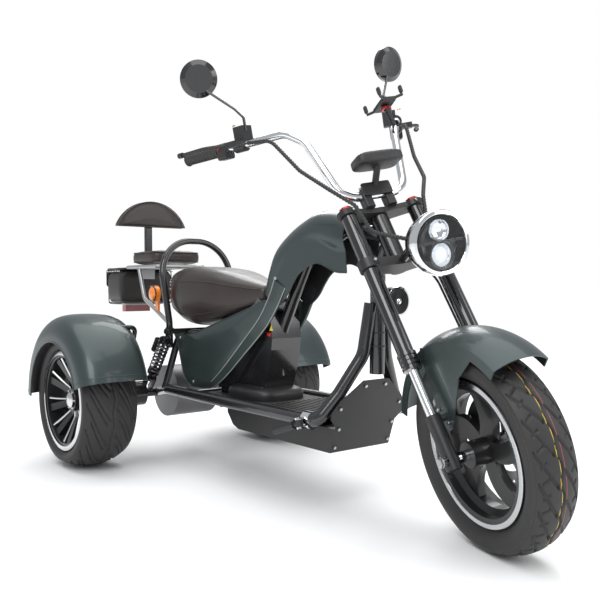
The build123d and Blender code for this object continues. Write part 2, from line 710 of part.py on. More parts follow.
# Neck cover: a curved channel of sheet metal, arched on top and open underneath
# Columns: crown X and Z, lower edge X and Z, height of the side crease over the lower edge
cover_rows = [
    (940, 800, 952, 641, 60), (893, 812, 905, 645, 62), (802, 818, 840, 668, 72),
    (735, 800, 798, 663, 80), (664, 766, 752, 642, 84), (606, 722, 722, 613, 80),
    (572, 664, 690, 574, 76), (550, 606, 640, 540, 56),
]


def cover_section(row, half, wall):
    """Arch across the cover: two upright sides and a crown, set in by the wall."""
    crown_x, crown_z, low_x, low_z, crease = row
    rise = Vector(crown_x - low_x, 0, crown_z - low_z)
    across = Plane(
        origin=(low_x, 0, low_z), x_dir=(0, 1, 0), z_dir=Vector(0, 1, 0).cross(rise)
    )
    with BuildSketch(across) as arch:
        with BuildLine() as outline:
            Polyline((-half, crease), (-half, -3 * wall), (half, -3 * wall), (half, crease))
            ThreePointArc((half, crease), (0, rise.length - wall), (-half, crease))
        make_face(outline.edges())
    return arch.sketch


with BuildPart() as neck_cover:
    for row in cover_rows:
        add(cover_section(row, COVER_HALF, 0))
    loft(ruled=True)
with BuildPart() as cover_hollow:
    for row in cover_rows:
        add(cover_section(row, COVER_HALF - COVER_WALL, COVER_WALL))
    loft(ruled=True)
with BuildPart() as neck_cover_open:
    add(neck_cover.part)
    cut_by(cover_hollow.part, saddle.part, frame.part)
write(neck_cover_open.part, "neck_cover")

# Grab hoop behind the saddle
with BuildPart() as grab_hoop:
    hoop = [(112, 128, 392), (116, 132, 480), (64, HOOP_HALF, 768)]
    add_tube(hoop + on_side(hoop, -1)[::-1], [80, 128, 128, 80], HOOP_R)
    cut_by(frame.part)
write(grab_hoop.part, "grab_hoop")

# Side panels under the saddle
panel_rows = [
    (121, 462), (155, 414), (192, 303), (228, 272), (272, 268), (318, 270), (350, 280),
    (412, 326), (577, 474), (606, 505), (592, 530), (524, 510), (430, 484), (300, 450),
    (236, 436), (150, 434),
]
PANEL_LEAN = radians(7)
for name, side in SIDES.items():
    panel_plane = Plane(
        origin=(0, side * 140, 0),
        x_dir=(cos(PANEL_LEAN), -side * sin(PANEL_LEAN), 0),
        z_dir=(-side * sin(PANEL_LEAN), -cos(PANEL_LEAN), 0),
    )
    with BuildPart() as side_panel:
        add_slab(panel_plane, panel_rows, side * PANEL_WALL)
        cut_by(frame.part, grab_hoop.part)
    write(side_panel.part, f"side_panel_{name}")

# Pillar between the footboard and the saddle
pillar_rows = [
    (330, BOARD_Z + BOARD_T), (560, BOARD_Z + BOARD_T), (590, 340), (608, 411), (612, 446),
    (600, 530), (540, 570), (330, 520),
]
with BuildPart() as pillar:
    add_slab(Plane.XZ.offset(-PILLAR_HALF), pillar_rows, 2 * PILLAR_HALF)
    cut_by(saddle.part, frame.part, footboard.part, neck_cover_open.part)
write(pillar.part, "pillar")

# Luggage rack with its stays
rack_loop = [(-40, -RACK_HALF, RACK_Z), (-290, -RACK_HALF, RACK_Z)]
stay_route = [(-175, RACK_HALF, RACK_Z), (-118, 106, 559), (71, 112, 476), (122, 138, 452)]
with BuildPart() as rack:
    add_tube(rack_loop + on_side(rack_loop, -1)[::-1], [30, 30], RACK_R)
    for side in SIDES.values():
        add_tube(on_side(stay_route, side), [40, 20], RACK_R)
    for x in (-44, -200):
        add_tube([(x, -RACK_HALF, RACK_Z), (x, RACK_HALF, RACK_Z)], [], RACK_R)
    with Locations((-290 - RACK_R + 2, 0, RACK_Z - 20)):
        Box(4, 60, 50)
    cut_by(grab_hoop.part, frame.part)
write(rack.part, "rack")

with BuildPart() as pillion_pad:
    with BuildSketch(Plane.XY.offset(RACK_Z + RACK_R)):
        with Locations((-146, 0)):
            RectangleRounded(200, 204, 40)
    extrude(amount=PAD_T)
write(pillion_pad.part, "pillion_pad")

with BuildPart() as backrest_post:
    with BuildSketch(Plane.XY.offset(RACK_Z)):
        with Locations((-290, 0)):
            RectangleRounded(16, 30, 4)
    extrude(amount=BACKREST_Z + 40 - RACK_Z)
    cut_by(rack.part)
write(backrest_post.part, "backrest_post")

with BuildPart() as backrest_pad:
    with BuildSketch(Plane(origin=(-282, 0, BACKREST_Z), x_dir=(0, 1, 0), z_dir=(1, 0, 0))):
        with BuildLine():
            Line((-BACKREST_HALF, 0), (BACKREST_HALF, 0))
            ThreePointArc((BACKREST_HALF, 0), (0, BACKREST_H), (-BACKREST_HALF, 0))
        make_face()
    extrude(amount=BACKREST_T)
write(backrest_pad.part, "backrest_pad")

with BuildPart() as bag:
    with BuildSketch(Plane.XY.offset(528)):
        with Locations((-290 - RACK_R - 66, 0)):
            RectangleRounded(132, 2 * BAG_HALF, 24)
    extrude(amount=RACK_Z - 529)
write(bag.part, "rear_bag")

with BuildPart() as tail_lamp:
    with Locations((-400, 0, 515)):
        Box(30, 110, 26)
write(tail_lamp.part, "tail_lamp")

# Round marker lamps on the stays
with BuildPart() as marker_lamps:
    for side in SIDES.values():
        lamp_plane = Plane(origin=(-12, side * 112, 578), x_dir=(1, 0, 0), z_dir=(0, side, 0))
        with BuildSketch(lamp_plane):
            Circle(30)
        extrude(amount=18)
        with Locations((-12, side * 109, 546)):
            Box(20, 8, 60)
    cut_by(rack.part)
write(marker_lamps.part, "marker_lamps")

# Rear axle with its brake housings, motor and shock absorbers
axle_centre = Vector(0, 0, REAR_AXLE_Z)
PIN_SPOT = (40, 282)
with BuildPart() as rear_axle:
    with BuildSketch(face_plane(axle_centre, -WHEEL_Y - REAR_SPOKE_OUT - 30)):
        Circle(STUB_R)
    extrude(amount=2 * (WHEEL_Y + REAR_SPOKE_OUT + 30))
    with BuildSketch(face_plane(axle_centre, -260)):
        Circle(AXLE_TUBE_R)
    extrude(amount=520)
    for side in SIDES.values():
        with BuildSketch(face_plane(axle_centre, side * 206 - 27)):
            Circle(43)
        extrude(amount=54)
        for y in (148, 178):
            pin_plane = Plane(origin=(0, side * y, 0), x_dir=(1, 0, 0), z_dir=(0, -side, 0))
            lug = [(-10, 225), (10, 225), (50, 276), (46, 290), (34, 290), (-12, 250)]
            add_slab(pin_plane, [(x, z if side == 1 else -z) for x, z in lug], -4)
        add_tube(
            [(PIN_SPOT[0], side * 148, PIN_SPOT[1]), (PIN_SPOT[0], side * 182, PIN_SPOT[1])], [], 6
        )
    cut_by(frame.part)
write(rear_axle.part, "rear_axle")

with BuildPart() as drive_motor:
    with BuildSketch(face_plane(axle_centre, -85)):
        Circle(92)
    extrude(amount=170)
    cut_by(rear_axle.part, frame.part)
write(drive_motor.part, "drive_motor")

with BuildPart() as shocks:
    for side in SIDES.values():
        way = Vector(MOUNT_SPOT[0] - PIN_SPOT[0], 0, MOUNT_SPOT[1] - PIN_SPOT[1]).normalized()
        low = Vector(PIN_SPOT[0], side * 165, PIN_SPOT[1])
        high = Vector(MOUNT_SPOT[0], side * 165, MOUNT_SPOT[1])
        add_tube([tuple(low), tuple(high)], [], 7)
        add_tube([tuple(low + way * 24), tuple(high - way * 24)], [], 22)
        add_tube([(high.X, side * 156, high.Z), (high.X, side * 174, high.Z)], [], 16)
        add_tube([(low.X, side * 157, low.Z), (low.X, side * 173, low.Z)], [], 13)
    cut_by(frame.part, rear_axle.part)
write(shocks.part, "rear_shocks")

# Rear fenders over the wide tyres
fender_rows = [
    (FENDER_R - 16, -FENDER_HALF), (FENDER_R, -60), (FENDER_R, 60),
    (FENDER_R - 22, FENDER_HALF - 2), (FENDER_R - 52, FENDER_HALF + 12),
    (FENDER_SKIRT_R, FENDER_HALF + 14), (FENDER_SKIRT_R, FENDER_HALF + 11),
    (FENDER_R - 53, FENDER_HALF + 9), (FENDER_R - 24, FENDER_HALF - 5),
    (FENDER_R - 3, 58), (FENDER_R - 3, -60), (FENDER_R - 19, -FENDER_HALF),
]
rear_fenders = []
for name, side in SIDES.items():
    centre = Vector(0, side * (WHEEL_Y + 5), REAR_AXLE_Z)
    with BuildPart() as rear_fender:
        fender_plane = Plane(origin=centre, x_dir=(1, 0, 0), z_dir=(0, 0, 1))
        with BuildSketch(fender_plane, mode=Mode.PRIVATE) as fender_face:
            with BuildLine():
                Polyline(*[(radius, side * y) for radius, y in fender_rows], close=True)
            make_face()
        fender_axis = Axis(centre, (0, -1, 0))
        revolve(fender_face.sketch.rotate(fender_axis, 17), axis=fender_axis, revolution_arc=164)
    write(rear_fender.part, f"rear_fender_{name}")
    rear_fenders.append(rear_fender.part)

with BuildPart() as fender_struts:
    for side in SIDES.values():
        for turn in (62, 116):
            along = cos(radians(turn))
            rise = sin(radians(turn))
            reach = FENDER_R - FENDER_WALL - STRUT_R + 1
            strut = [
                (0, 250, REAR_AXLE_Z), (reach * along, 268, REAR_AXLE_Z + reach * rise),
                (reach * along, 400, REAR_AXLE_Z + reach * rise),
            ]
            add_tube(on_side(strut, side), [24], STRUT_R)
    cut_by(rear_axle.part, *rear_fenders)
write(fender_struts.part, "fender_struts")

# Foot pegs folded down and back on bright clamps
PEG_SPOT = Vector(906, 186, 246)
PEG_WAY = Vector(-0.94, 0.10, -0.32).normalized()
PEG_AXIS = Vector(-0.32, 0, 0.947).normalized()
with BuildPart() as peg_clamps:
    for side in SIDES.values():
        spot = Vector(PEG_SPOT.X, side * PEG_SPOT.Y, PEG_SPOT.Z)
        clamp_plane = Plane(origin=(892, side * RAIL_HALF, RAIL_Z + 1), z_dir=(1, 0, 0))
        with BuildSketch(clamp_plane):
            Circle(TUBE_R + 7)
        extrude(amount=30)
        add_tube([tuple(spot - PEG_AXIS * 15), tuple(spot + PEG_AXIS * 15)], [], 5)
        for low in (-15, 10):
            ear_spot = Plane(origin=spot + PEG_AXIS * low, x_dir=(0, side, 0), z_dir=PEG_AXIS)
            with BuildSketch(ear_spot):
                SlotOverall(22, 18)
                with Locations((-18, 0)):
                    Rectangle(36, 18)
            extrude(amount=5)
    cut_by(frame.part, footboard.part)
write(peg_clamps.part, "peg_clamps")

for name, side in SIDES.items():
    spot = Vector(PEG_SPOT.X, side * PEG_SPOT.Y, PEG_SPOT.Z)
    way = Vector(PEG_WAY.X, side * PEG_WAY.Y, PEG_WAY.Z)
    with BuildPart() as foot_peg:
        add_tube([tuple(spot - PEG_AXIS * 9), tuple(spot + PEG_AXIS * 9)], [], 10)
        add_tube([tuple(spot + way * 5), tuple(spot + way * 22)], [], 7)
        add_tube([tuple(spot + way * 20), tuple(spot + way * 100)], [], 11)
        barrel = [tuple(spot - PEG_AXIS * 9), tuple(spot + PEG_AXIS * 9)]
        add_tube(barrel, [], 5 + RUNNING_GAP, mode=Mode.SUBTRACT)
    write(foot_peg.part, f"foot_peg_{name}")
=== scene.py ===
from math import cos, pi, radians, sin

import bmesh
import bpy
import numpy as np
from mathutils import Matrix


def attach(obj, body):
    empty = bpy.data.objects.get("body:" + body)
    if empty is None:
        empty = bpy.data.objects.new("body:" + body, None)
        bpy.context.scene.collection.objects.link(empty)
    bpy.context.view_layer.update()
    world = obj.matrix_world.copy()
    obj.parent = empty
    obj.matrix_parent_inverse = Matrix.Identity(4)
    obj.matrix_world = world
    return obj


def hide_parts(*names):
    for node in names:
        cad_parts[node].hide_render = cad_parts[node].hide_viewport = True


# Electric tricycle: surfaces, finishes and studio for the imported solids. Lengths in the tables
# are millimetres from the rear axle, and metres() moves them to the shared frame.

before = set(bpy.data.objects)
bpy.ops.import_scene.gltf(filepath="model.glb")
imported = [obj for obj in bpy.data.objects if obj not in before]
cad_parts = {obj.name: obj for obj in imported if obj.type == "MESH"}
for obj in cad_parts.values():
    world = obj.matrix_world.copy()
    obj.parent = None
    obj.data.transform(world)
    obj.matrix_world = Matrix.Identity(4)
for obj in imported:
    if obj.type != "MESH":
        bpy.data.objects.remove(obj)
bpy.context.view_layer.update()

MID_X = 588.1
RAKE = radians(30.8)
STEER_REST = radians(-18.7)
HEAD = np.array([1062.6, 0.0, 700.0])
HEAD_WAY = np.array([-sin(RAKE), 0.0, cos(RAKE)])
HEAD_FORWARD = np.array([cos(RAKE), 0.0, sin(RAKE)])
FRONT_AXLE = np.array([1376.0, 0.0, 235.45])
REAR_AXLE_Z = 225.0
WHEEL_Y = 390.0
SIDES = {"right": -1, "left": 1}


def metres(points):
    """Millimetres from the rear axle, less MID_X and over 1000: metres from the middle."""
    return (np.asarray(points, float) - [MID_X, 0.0, 0.0]) / 1000.0


def turned(points):
    """Points of the straight steering, turned about the head axis to where the fork rests:
    the part along the axis stays, and the rest turns by the cosine and sine of the angle."""
    v = np.asarray(points, float) - HEAD
    along = (v @ HEAD_WAY)[..., None] * HEAD_WAY
    return (HEAD + v * cos(STEER_REST) + np.cross(HEAD_WAY, v) * sin(STEER_REST)
            + along * (1 - cos(STEER_REST)))


def head_point(forward, left, along):
    """A point given by its distances from the steering axis."""
    return HEAD + HEAD_FORWARD * forward + np.array([0.0, left, 0.0]) + HEAD_WAY * along


def unit(v):
    """Vectors divided by their own lengths."""
    v = np.asarray(v, float)
    return v / np.linalg.norm(v, axis=-1, keepdims=True)


def eased(value, power):
    """The size of a value raised to a power, with its sign kept."""
    return np.sign(value) * np.abs(value) ** power


def across(way):
    """Two unit vectors square to a direction and to each other, by cross products."""
    way = unit(way)
    helper = np.array([0.0, 0.0, 1.0]) if abs(way[2]) < 0.9 else np.array([1.0, 0.0, 0.0])
    first = unit(np.cross(helper, way))
    return first, np.cross(way, first)


def arc3(a, b, c, count):
    """Points on the circle through three points of a plane, from the first to the last. Its
    middle is as far from all three, which makes two straight-line equations."""
    a, b, c = (np.asarray(p, float) for p in (a, b, c))
    lines = np.array([b - a, c - a]) * 2
    middle = np.linalg.solve(lines, [b @ b - a @ a, c @ c - a @ a])
    start, mid, end = (np.arctan2(*(p - middle)[::-1]) for p in (a, b, c))
    span = (end - start) % (2 * pi)
    if (mid - start) % (2 * pi) > span:
        span -= 2 * pi
    turn = start + span * np.linspace(0, 1, count)
    return middle + np.linalg.norm(a - middle) * np.stack([np.cos(turn), np.sin(turn)], 1)


def filleted(points, radii, step=3.0):
    """Straight runs joined by arcs of the radii given, as evenly spaced points. A point of an
    arc mixes its two end radii by the sines of the turn left and the turn made."""
    pts = np.asarray(points, float)
    route = [pts[0]]
    for p, here, q, radius in zip(pts[:-2], pts[1:-1], pts[2:], radii):
        back, on = unit(p - here), unit(q - here)
        half = np.arccos(np.clip(back @ on, -1, 1)) / 2
        reach = radius / np.tan(half)
        middle = here + unit(back + on) * radius / np.sin(half)
        start, end = here + back * reach - middle, here + on * reach - middle
        turn = pi - 2 * half
        for t in np.linspace(0, 1, 9):
            spoke = np.sin((1 - t) * turn) * start + np.sin(t * turn) * end
            route.append(middle + spoke / np.sin(turn))
    route.append(pts[-1])
    route = np.array(route)
    gaps = np.linalg.norm(np.diff(route, axis=0), axis=1)
    at = np.concatenate([[0], np.cumsum(gaps)])
    where = np.linspace(0, at[-1], max(2, int(at[-1] / step) + 1))
    return np.stack([np.interp(where, at, route[:, k]) for k in range(3)], 1)


def through(rows, count):
    """A smooth curve through rows of numbers: each stretch is a cubic whose slope at a row is
    half the step from the row before to the row after."""
    rows = np.asarray(rows, float)
    ends = np.vstack([2 * rows[0] - rows[1], rows, 2 * rows[-1] - rows[-2]])
    at = np.linspace(0, len(rows) - 1 - 1e-9, count)
    k = at.astype(int)
    t = (at - k)[:, None]
    a, b, c, d = ends[k], ends[k + 1], ends[k + 2], ends[k + 3]
    return 0.5 * (2 * b + (c - a) * t + (2 * a - 5 * b + 4 * c - d) * t ** 2
                  + (3 * b - a - 3 * c + d) * t ** 3)


class Piece:
    """Grids of points gathered into one mesh, with two attributes that follow the surface."""

    def __init__(self, steered=False):
        self.co, self.faces, self.look, self.marks = [], [], [], []
        self.count = 0
        self.steered = steered

    def grid(self, points, wrap_u=False, wrap_v=False, look=0, marks=None):
        """A surface over a table of points: quads between each row and column and the next."""
        points = np.asarray(points, float)
        rows, cols = points.shape[:2]
        index = self.count + np.arange(rows * cols).reshape(rows, cols)
        if wrap_u:
            index = np.vstack([index, index[:1]])
        if wrap_v:
            index = np.hstack([index, index[:, :1]])
        quads = np.stack([index[:-1, :-1], index[1:, :-1], index[1:, 1:], index[:-1, 1:]], -1)
        quads = quads.reshape(-1, 4).tolist()
        self.faces += quads
        self.look += [look] * len(quads)
        self.co.append(points.reshape(-1, 3))
        if marks is None:
            marks = np.zeros((rows, cols, 2))
        self.marks.append(np.broadcast_to(marks, (rows, cols, 2)).reshape(-1, 2))
        self.count += rows * cols
        return index

    def revolve(self, rows, centre, axis, steps=48, look=0):
        """A ring: each row's radius turned round the axis at the row's distance along it."""
        first, second = across(axis)
        rows = np.asarray(rows, float)
        turn = np.linspace(0, 2 * pi, steps, endpoint=False)[:, None, None]
        spoke = np.cos(turn) * first + np.sin(turn) * second
        points = np.asarray(centre, float) + rows[None, :, 1:2] * unit(axis) + rows[None, :, 0:1] * spoke
        self.grid(points, wrap_u=True, wrap_v=True, look=look)

    def sweep(self, path, radius, sides=12, look=0, closed=False):
        """A round section carried along a path, kept from twisting by turning it with the path.
        radius is a number, or a table with a row for each path point and a column for each side."""
        path = np.asarray(path, float)
        ways = unit(np.gradient(path, axis=0))
        if closed:
            ways = unit(np.roll(path, -1, axis=0) - np.roll(path, 1, axis=0))
        first = across(ways[0])[0]
        frames = []
        for way in ways:
            first = unit(first - (first @ way) * way)
            frames.append((first, np.cross(way, first)))
        frames = np.array(frames)
        turn = np.linspace(0, 2 * pi, sides, endpoint=False)
        radius = np.broadcast_to(np.asarray(radius, float), (len(path), sides))[..., None]
        ring = (np.cos(turn)[None, :, None] * frames[:, 0][:, None]
                + np.sin(turn)[None, :, None] * frames[:, 1][:, None])
        points = path[:, None] + radius * ring
        if closed:
            self.grid(points, wrap_u=True, wrap_v=True, look=look)
            return
        middle = np.repeat(path[[0, -1]][:, None], sides, axis=1)
        points = np.concatenate([middle[:1], points, middle[1:]])
        self.grid(points, wrap_v=True, look=look)

    def capped(self, rows, look=0):
        """Loops joined one to the next, with both ends closed to their own middles."""
        rows = np.asarray(rows, float)
        ends = [np.broadcast_to(rows[k].mean(0), rows[k].shape)[None] for k in (0, -1)]
        self.grid(np.concatenate([ends[0], rows, ends[1]]), wrap_v=True, look=look)

    def skin(self, outer, inner):
        """A sheet with a thickness: an outer and an inner grid joined along their four edges."""
        self.grid(outer, look=0)
        # The inner grid takes the second finish, which the fender and neck cover use for painted shade.
        self.grid(inner, look=1)
        for a, b in ((outer[0], inner[0]), (outer[-1], inner[-1]),
                     (outer[:, 0], inner[:, 0]), (outer[:, -1], inner[:, -1])):
            self.grid(np.stack([a, b]), look=0)

    def bolt(self, spot, way, radius=4.0, height=4.0, steps=6, look=0):
        """A bolt head with a small chamfer standing on spot along way."""
        rows = [(0, -1), (radius, -1), (radius, 0.75 * height), (0.8 * radius, height), (0, height)]
        self.revolve(rows, spot, way, steps, look)

    def dome(self, spot, way, radius, height, steps=12, look=0):
        """A domed disc: radius times cosine against height times sine."""
        turn = np.linspace(0, pi / 2, 5)
        rows = [(0, -1), (radius, -1)] + [(radius * cos(t), height * sin(t)) for t in turn]
        self.revolve(rows, spot, way, steps, look)

    def block(self, centre, size, ways=None, soft=0.15, look=0, steps=24):
        """A rounded block: a ball whose sines and cosines are raised to the power soft."""
        ways = np.eye(3) if ways is None else np.asarray(ways, float)
        u = np.linspace(-pi / 2, pi / 2, steps)[:, None]
        v = np.linspace(0, 2 * pi, 2 * steps, endpoint=False)[None, :]
        reach = eased(np.cos(u), soft)
        ball = np.stack([reach * eased(np.cos(v), soft), reach * eased(np.sin(v), soft),
                         eased(np.sin(u), soft) * np.ones_like(v)], -1)
        points = np.asarray(centre, float) + (ball * np.asarray(size, float) / 2) @ ways
        self.grid(points, wrap_v=True, look=look)

    def made(self, name, body, looks, slot=None, smooth=35):
        """The finished mesh object, its faces turned outward, riding on a body."""
        co = np.concatenate(self.co)
        co = metres(turned(co) if self.steered else co)
        mesh = bpy.data.meshes.new(name)
        mesh.from_pydata(co.tolist(), [], self.faces)
        mesh.polygons.foreach_set("material_index", self.look)
        marks = np.concatenate(self.marks)
        for k, title in enumerate(("around", "across")):
            layer = mesh.attributes.new(title, "FLOAT", "POINT")
            layer.data.foreach_set("value", marks[:, k].astype(np.float32))
        bm = bmesh.new()
        bm.from_mesh(mesh)
        bmesh.ops.remove_doubles(bm, verts=bm.verts, dist=1e-6)
        bmesh.ops.dissolve_degenerate(bm, edges=bm.edges, dist=1e-7)
        bmesh.ops.recalc_face_normals(bm, faces=bm.faces)
        bm.to_mesh(mesh)
        bm.free()
        mesh.shade_smooth()
        mesh.set_sharp_from_angle(angle=radians(smooth))
        obj = bpy.data.objects.new(name, mesh)
        bpy.context.scene.collection.objects.link(obj)
        for look in looks:
            mesh.materials.append(materials[look])
        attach(obj, body)
        return obj


# Materials
def finish_of(name, color, rough, metal=0.0, coat=0.0, grain=(200.0, 0.0), vary=0.12, wear=None,
              glow=None, clear=0.0):
    """A shader with its colour and gloss varied by noise and its surface by a fine grain."""
    mat = bpy.data.materials.new(name)
    mat.use_nodes = True
    nodes, links = mat.node_tree.nodes, mat.node_tree.links
    shader = nodes["Principled BSDF"]
    shader.inputs["Metallic"].default_value = metal
    shader.inputs["Coat Weight"].default_value = coat
    shader.inputs["Coat Roughness"].default_value = 0.08
    shader.inputs["Transmission Weight"].default_value = clear
    place = nodes.new("ShaderNodeTexCoord")
    cloud = nodes.new("ShaderNodeTexNoise")
    cloud.inputs["Scale"].default_value = 14.0
    cloud.inputs["Detail"].default_value = 5.0
    links.new(place.outputs["Object"], cloud.inputs["Vector"])
    tone = nodes.new("ShaderNodeMix")
    tone.data_type = "RGBA"
    dark = [c * (1 - vary) for c in color]
    light = [min(1.0, c * (1 + vary)) for c in color] if wear is None else wear
    tone.inputs["A"].default_value = (*dark, 1)
    tone.inputs["B"].default_value = (*light, 1)
    links.new(cloud.outputs["Fac"], tone.inputs["Factor"])
    links.new(tone.outputs["Result"], shader.inputs["Base Color"])
    gloss = nodes.new("ShaderNodeMapRange")
    gloss.inputs["To Min"].default_value = rough * 0.8
    gloss.inputs["To Max"].default_value = min(1.0, rough * 1.25)
    links.new(cloud.outputs["Fac"], gloss.inputs["Value"])
    links.new(gloss.outputs["Result"], shader.inputs["Roughness"])
    if grain[1]:
        fine = nodes.new("ShaderNodeTexNoise")
        fine.inputs["Scale"].default_value = grain[0]
        fine.inputs["Detail"].default_value = 3.0
        links.new(place.outputs["Object"], fine.inputs["Vector"])
        bump = nodes.new("ShaderNodeBump")
        bump.inputs["Strength"].default_value = grain[1]
        bump.inputs["Distance"].default_value = 0.001
        links.new(fine.outputs["Fac"], bump.inputs["Height"])
        links.new(bump.outputs["Normal"], shader.inputs["Normal"])
    if glow:
        shader.inputs["Emission Color"].default_value = (*glow[:3], 1)
        shader.inputs["Emission Strength"].default_value = glow[3]
    return mat


def leather_of(name, color, wear, cell):
    """Leather: creased cells of a Voronoi pattern under a soft sheen."""
    mat = finish_of(name, color, 0.42, wear=wear, coat=0.15)
    nodes, links = mat.node_tree.nodes, mat.node_tree.links
    shader = nodes["Principled BSDF"]
    place = next(n for n in nodes if n.type == "TEX_COORD")
    cells = nodes.new("ShaderNodeTexVoronoi")
    cells.feature = "DISTANCE_TO_EDGE"
    cells.inputs["Scale"].default_value = cell
    links.new(place.outputs["Object"], cells.inputs["Vector"])
    bump = nodes.new("ShaderNodeBump")
    bump.inputs["Strength"].default_value = 0.35
    bump.inputs["Distance"].default_value = 0.0008
    links.new(cells.outputs["Distance"], bump.inputs["Height"])
    links.new(bump.outputs["Normal"], shader.inputs["Normal"])
    return mat


def banded(mat, bands):
    """Adds coloured lines to a material where the across attribute is inside a band."""
    nodes, links = mat.node_tree.nodes, mat.node_tree.links
    shader = nodes["Principled BSDF"]
    source = shader.inputs["Base Color"].links[0].from_socket
    place = nodes.new("ShaderNodeAttribute")
    place.attribute_name = "across"
    for low, high, color in bands:
        gap = nodes.new("ShaderNodeMath")
        gap.operation = "COMPARE"
        gap.inputs[1].default_value = (low + high) / 2
        gap.inputs[2].default_value = (high - low) / 2
        links.new(place.outputs["Fac"], gap.inputs[0])
        mix = nodes.new("ShaderNodeMix")
        mix.data_type = "RGBA"
        mix.inputs["B"].default_value = (*color, 1)
        links.new(gap.outputs["Value"], mix.inputs["Factor"])
        links.new(source, mix.inputs["A"])
        source = mix.outputs["Result"]
    links.new(source, shader.inputs["Base Color"])
    return mat


materials = {
    "frame_black": finish_of("frame_black", (0.012, 0.012, 0.013), 0.22, coat=0.6),
    "body_green": finish_of("body_green", (0.040, 0.056, 0.056), 0.36, metal=0.45, coat=0.3,
                            grain=(900.0, 0.04), vary=0.05),
    "trim_pale": finish_of("trim_pale", (0.34, 0.36, 0.35), 0.3, metal=0.6),
    "black_gloss": finish_of("black_gloss", (0.01, 0.01, 0.011), 0.16, coat=0.8),
    "black_satin": finish_of("black_satin", (0.016, 0.016, 0.017), 0.4, grain=(600.0, 0.05)),
    "black_plastic": finish_of("black_plastic", (0.018, 0.018, 0.019), 0.45, grain=(900.0, 0.12)),
    "mat_rubber": finish_of("mat_rubber", (0.02, 0.02, 0.02), 0.62, grain=(500.0, 0.15),
                            wear=(0.05, 0.048, 0.045)),
    "tyre_rubber": finish_of("tyre_rubber", (0.014, 0.014, 0.014), 0.55, grain=(700.0, 0.2),
                             wear=(0.026, 0.025, 0.024)),
    "saddle_leather": leather_of("saddle_leather", (0.018, 0.013, 0.012), (0.040, 0.028, 0.023), 420.0),
    "bag_leather": leather_of("bag_leather", (0.014, 0.012, 0.011), (0.03, 0.027, 0.025), 300.0),
    "chrome": finish_of("chrome", (0.78, 0.79, 0.8), 0.07, metal=1.0, vary=0.03),
    "coil_steel": finish_of("coil_steel", (0.09, 0.09, 0.095), 0.25, metal=0.9),
    "label_yellow": finish_of("label_yellow", (0.75, 0.55, 0.04), 0.4),
    "steel": finish_of("steel", (0.5, 0.5, 0.51), 0.28, metal=1.0, grain=(800.0, 0.05)),
    "machined": finish_of("machined", (0.62, 0.63, 0.64), 0.22, metal=1.0),
    "cast_black": finish_of("cast_black", (0.016, 0.016, 0.017), 0.35, metal=0.3, coat=0.3,
                            grain=(500.0, 0.08)),
    "cast_grey": finish_of("cast_grey", (0.2, 0.2, 0.21), 0.45, metal=0.8, grain=(400.0, 0.15)),
    "pale_tube": finish_of("pale_tube", (0.42, 0.43, 0.43), 0.3, metal=0.7),
    "red_metal": finish_of("red_metal", (0.42, 0.012, 0.012), 0.25, metal=0.6, coat=0.5),
    "lamp_red": finish_of("lamp_red", (0.4, 0.01, 0.01), 0.12, coat=1.0),
    "lamp_orange": finish_of("lamp_orange", (0.8, 0.2, 0.012), 0.15, coat=1.0,
                             glow=(1.0, 0.3, 0.03, 0.15)),
    "brass": finish_of("brass", (0.55, 0.36, 0.12), 0.3, metal=1.0),
    "lens": finish_of("lens", (0.93, 0.95, 0.97), 0.02, clear=1.0, vary=0.0),
    "led": finish_of("led", (0.9, 0.92, 0.95), 0.2, glow=(0.9, 0.95, 1.0, 0.6)),
    "mirror": finish_of("mirror", (0.85, 0.86, 0.87), 0.02, metal=1.0, vary=0.0),
    "screen": finish_of("screen", (0.006, 0.007, 0.01), 0.05, coat=1.0),
}
materials["front_tread"] = banded(
    finish_of("front_tread", (0.014, 0.014, 0.014), 0.55, grain=(700.0, 0.2),
              wear=(0.026, 0.025, 0.024)),
    [(-0.05, -0.025, (0.62, 0.45, 0.05)), (0.17, 0.19, (0.45, 0.07, 0.08))],
)


# Tyres with moulded treads: bead seat, lip and crown radius, half width at the bead and in all
FRONT_TYRE = (152.8, 172.0, 236.5, 38.7, 56.0)
REAR_TYRE = (149.3, 167.0, 225.0, 78.7, 95.0)
FRONT_GROOVE_DEEP = 4.0
REAR_GROOVE_DEEP = 3.6
TYRE_STEPS = 720
FRONT_PITCHES = 22
REAR_PITCHES = 15


def tyre_section(bead, lip, crown, half_bead, half):
    """Rows of radius and width round a tyre: a flat bead seat, then each wall and the crown as
    an arc through three points."""
    shoulder = crown - 0.28 * half
    bulge = (lip + shoulder) / 2
    wall = arc3((lip, half_bead), (bulge, half - 1), (shoulder, half - 3), 13)
    tread = arc3((shoulder, half - 3), (crown, 0), (shoulder, 3 - half), 57)
    back = wall[::-1] * [1, -1]
    seat = np.stack([np.full(4, bead), np.linspace(-half_bead, half_bead, 4)], 1)
    return np.concatenate([seat, wall[:-1], tread, back[1:]])


def band(value, width, soft):
    """One inside the width either side of zero, falling smoothly to nothing over soft."""
    return np.clip((width + soft - np.abs(value)) / soft, 0, 1)


def front_grooves(turn, s):
    """Long swept grooves leaning with the turn, a hook sipe between them and a middle wave."""
    phase = turn * FRONT_PITCHES / (2 * pi)
    lean = phase + 1.5 * eased(s, 1.3) + 0.25 * (s > 0)
    swept = band((lean % 1) - 0.5, 0.07, 0.05) * (np.abs(s) > 0.16) * (np.abs(s) < 0.93)
    hook = band(((2 * phase - 1.1 * s) % 1) - 0.5, 0.06, 0.06)
    hook = hook * (np.abs(s) > 0.5) * (np.abs(s) < 0.78)
    middle = band(s - 0.07 * np.sin(turn * FRONT_PITCHES), 0.025, 0.03)
    return np.maximum(np.maximum(swept, hook), middle)


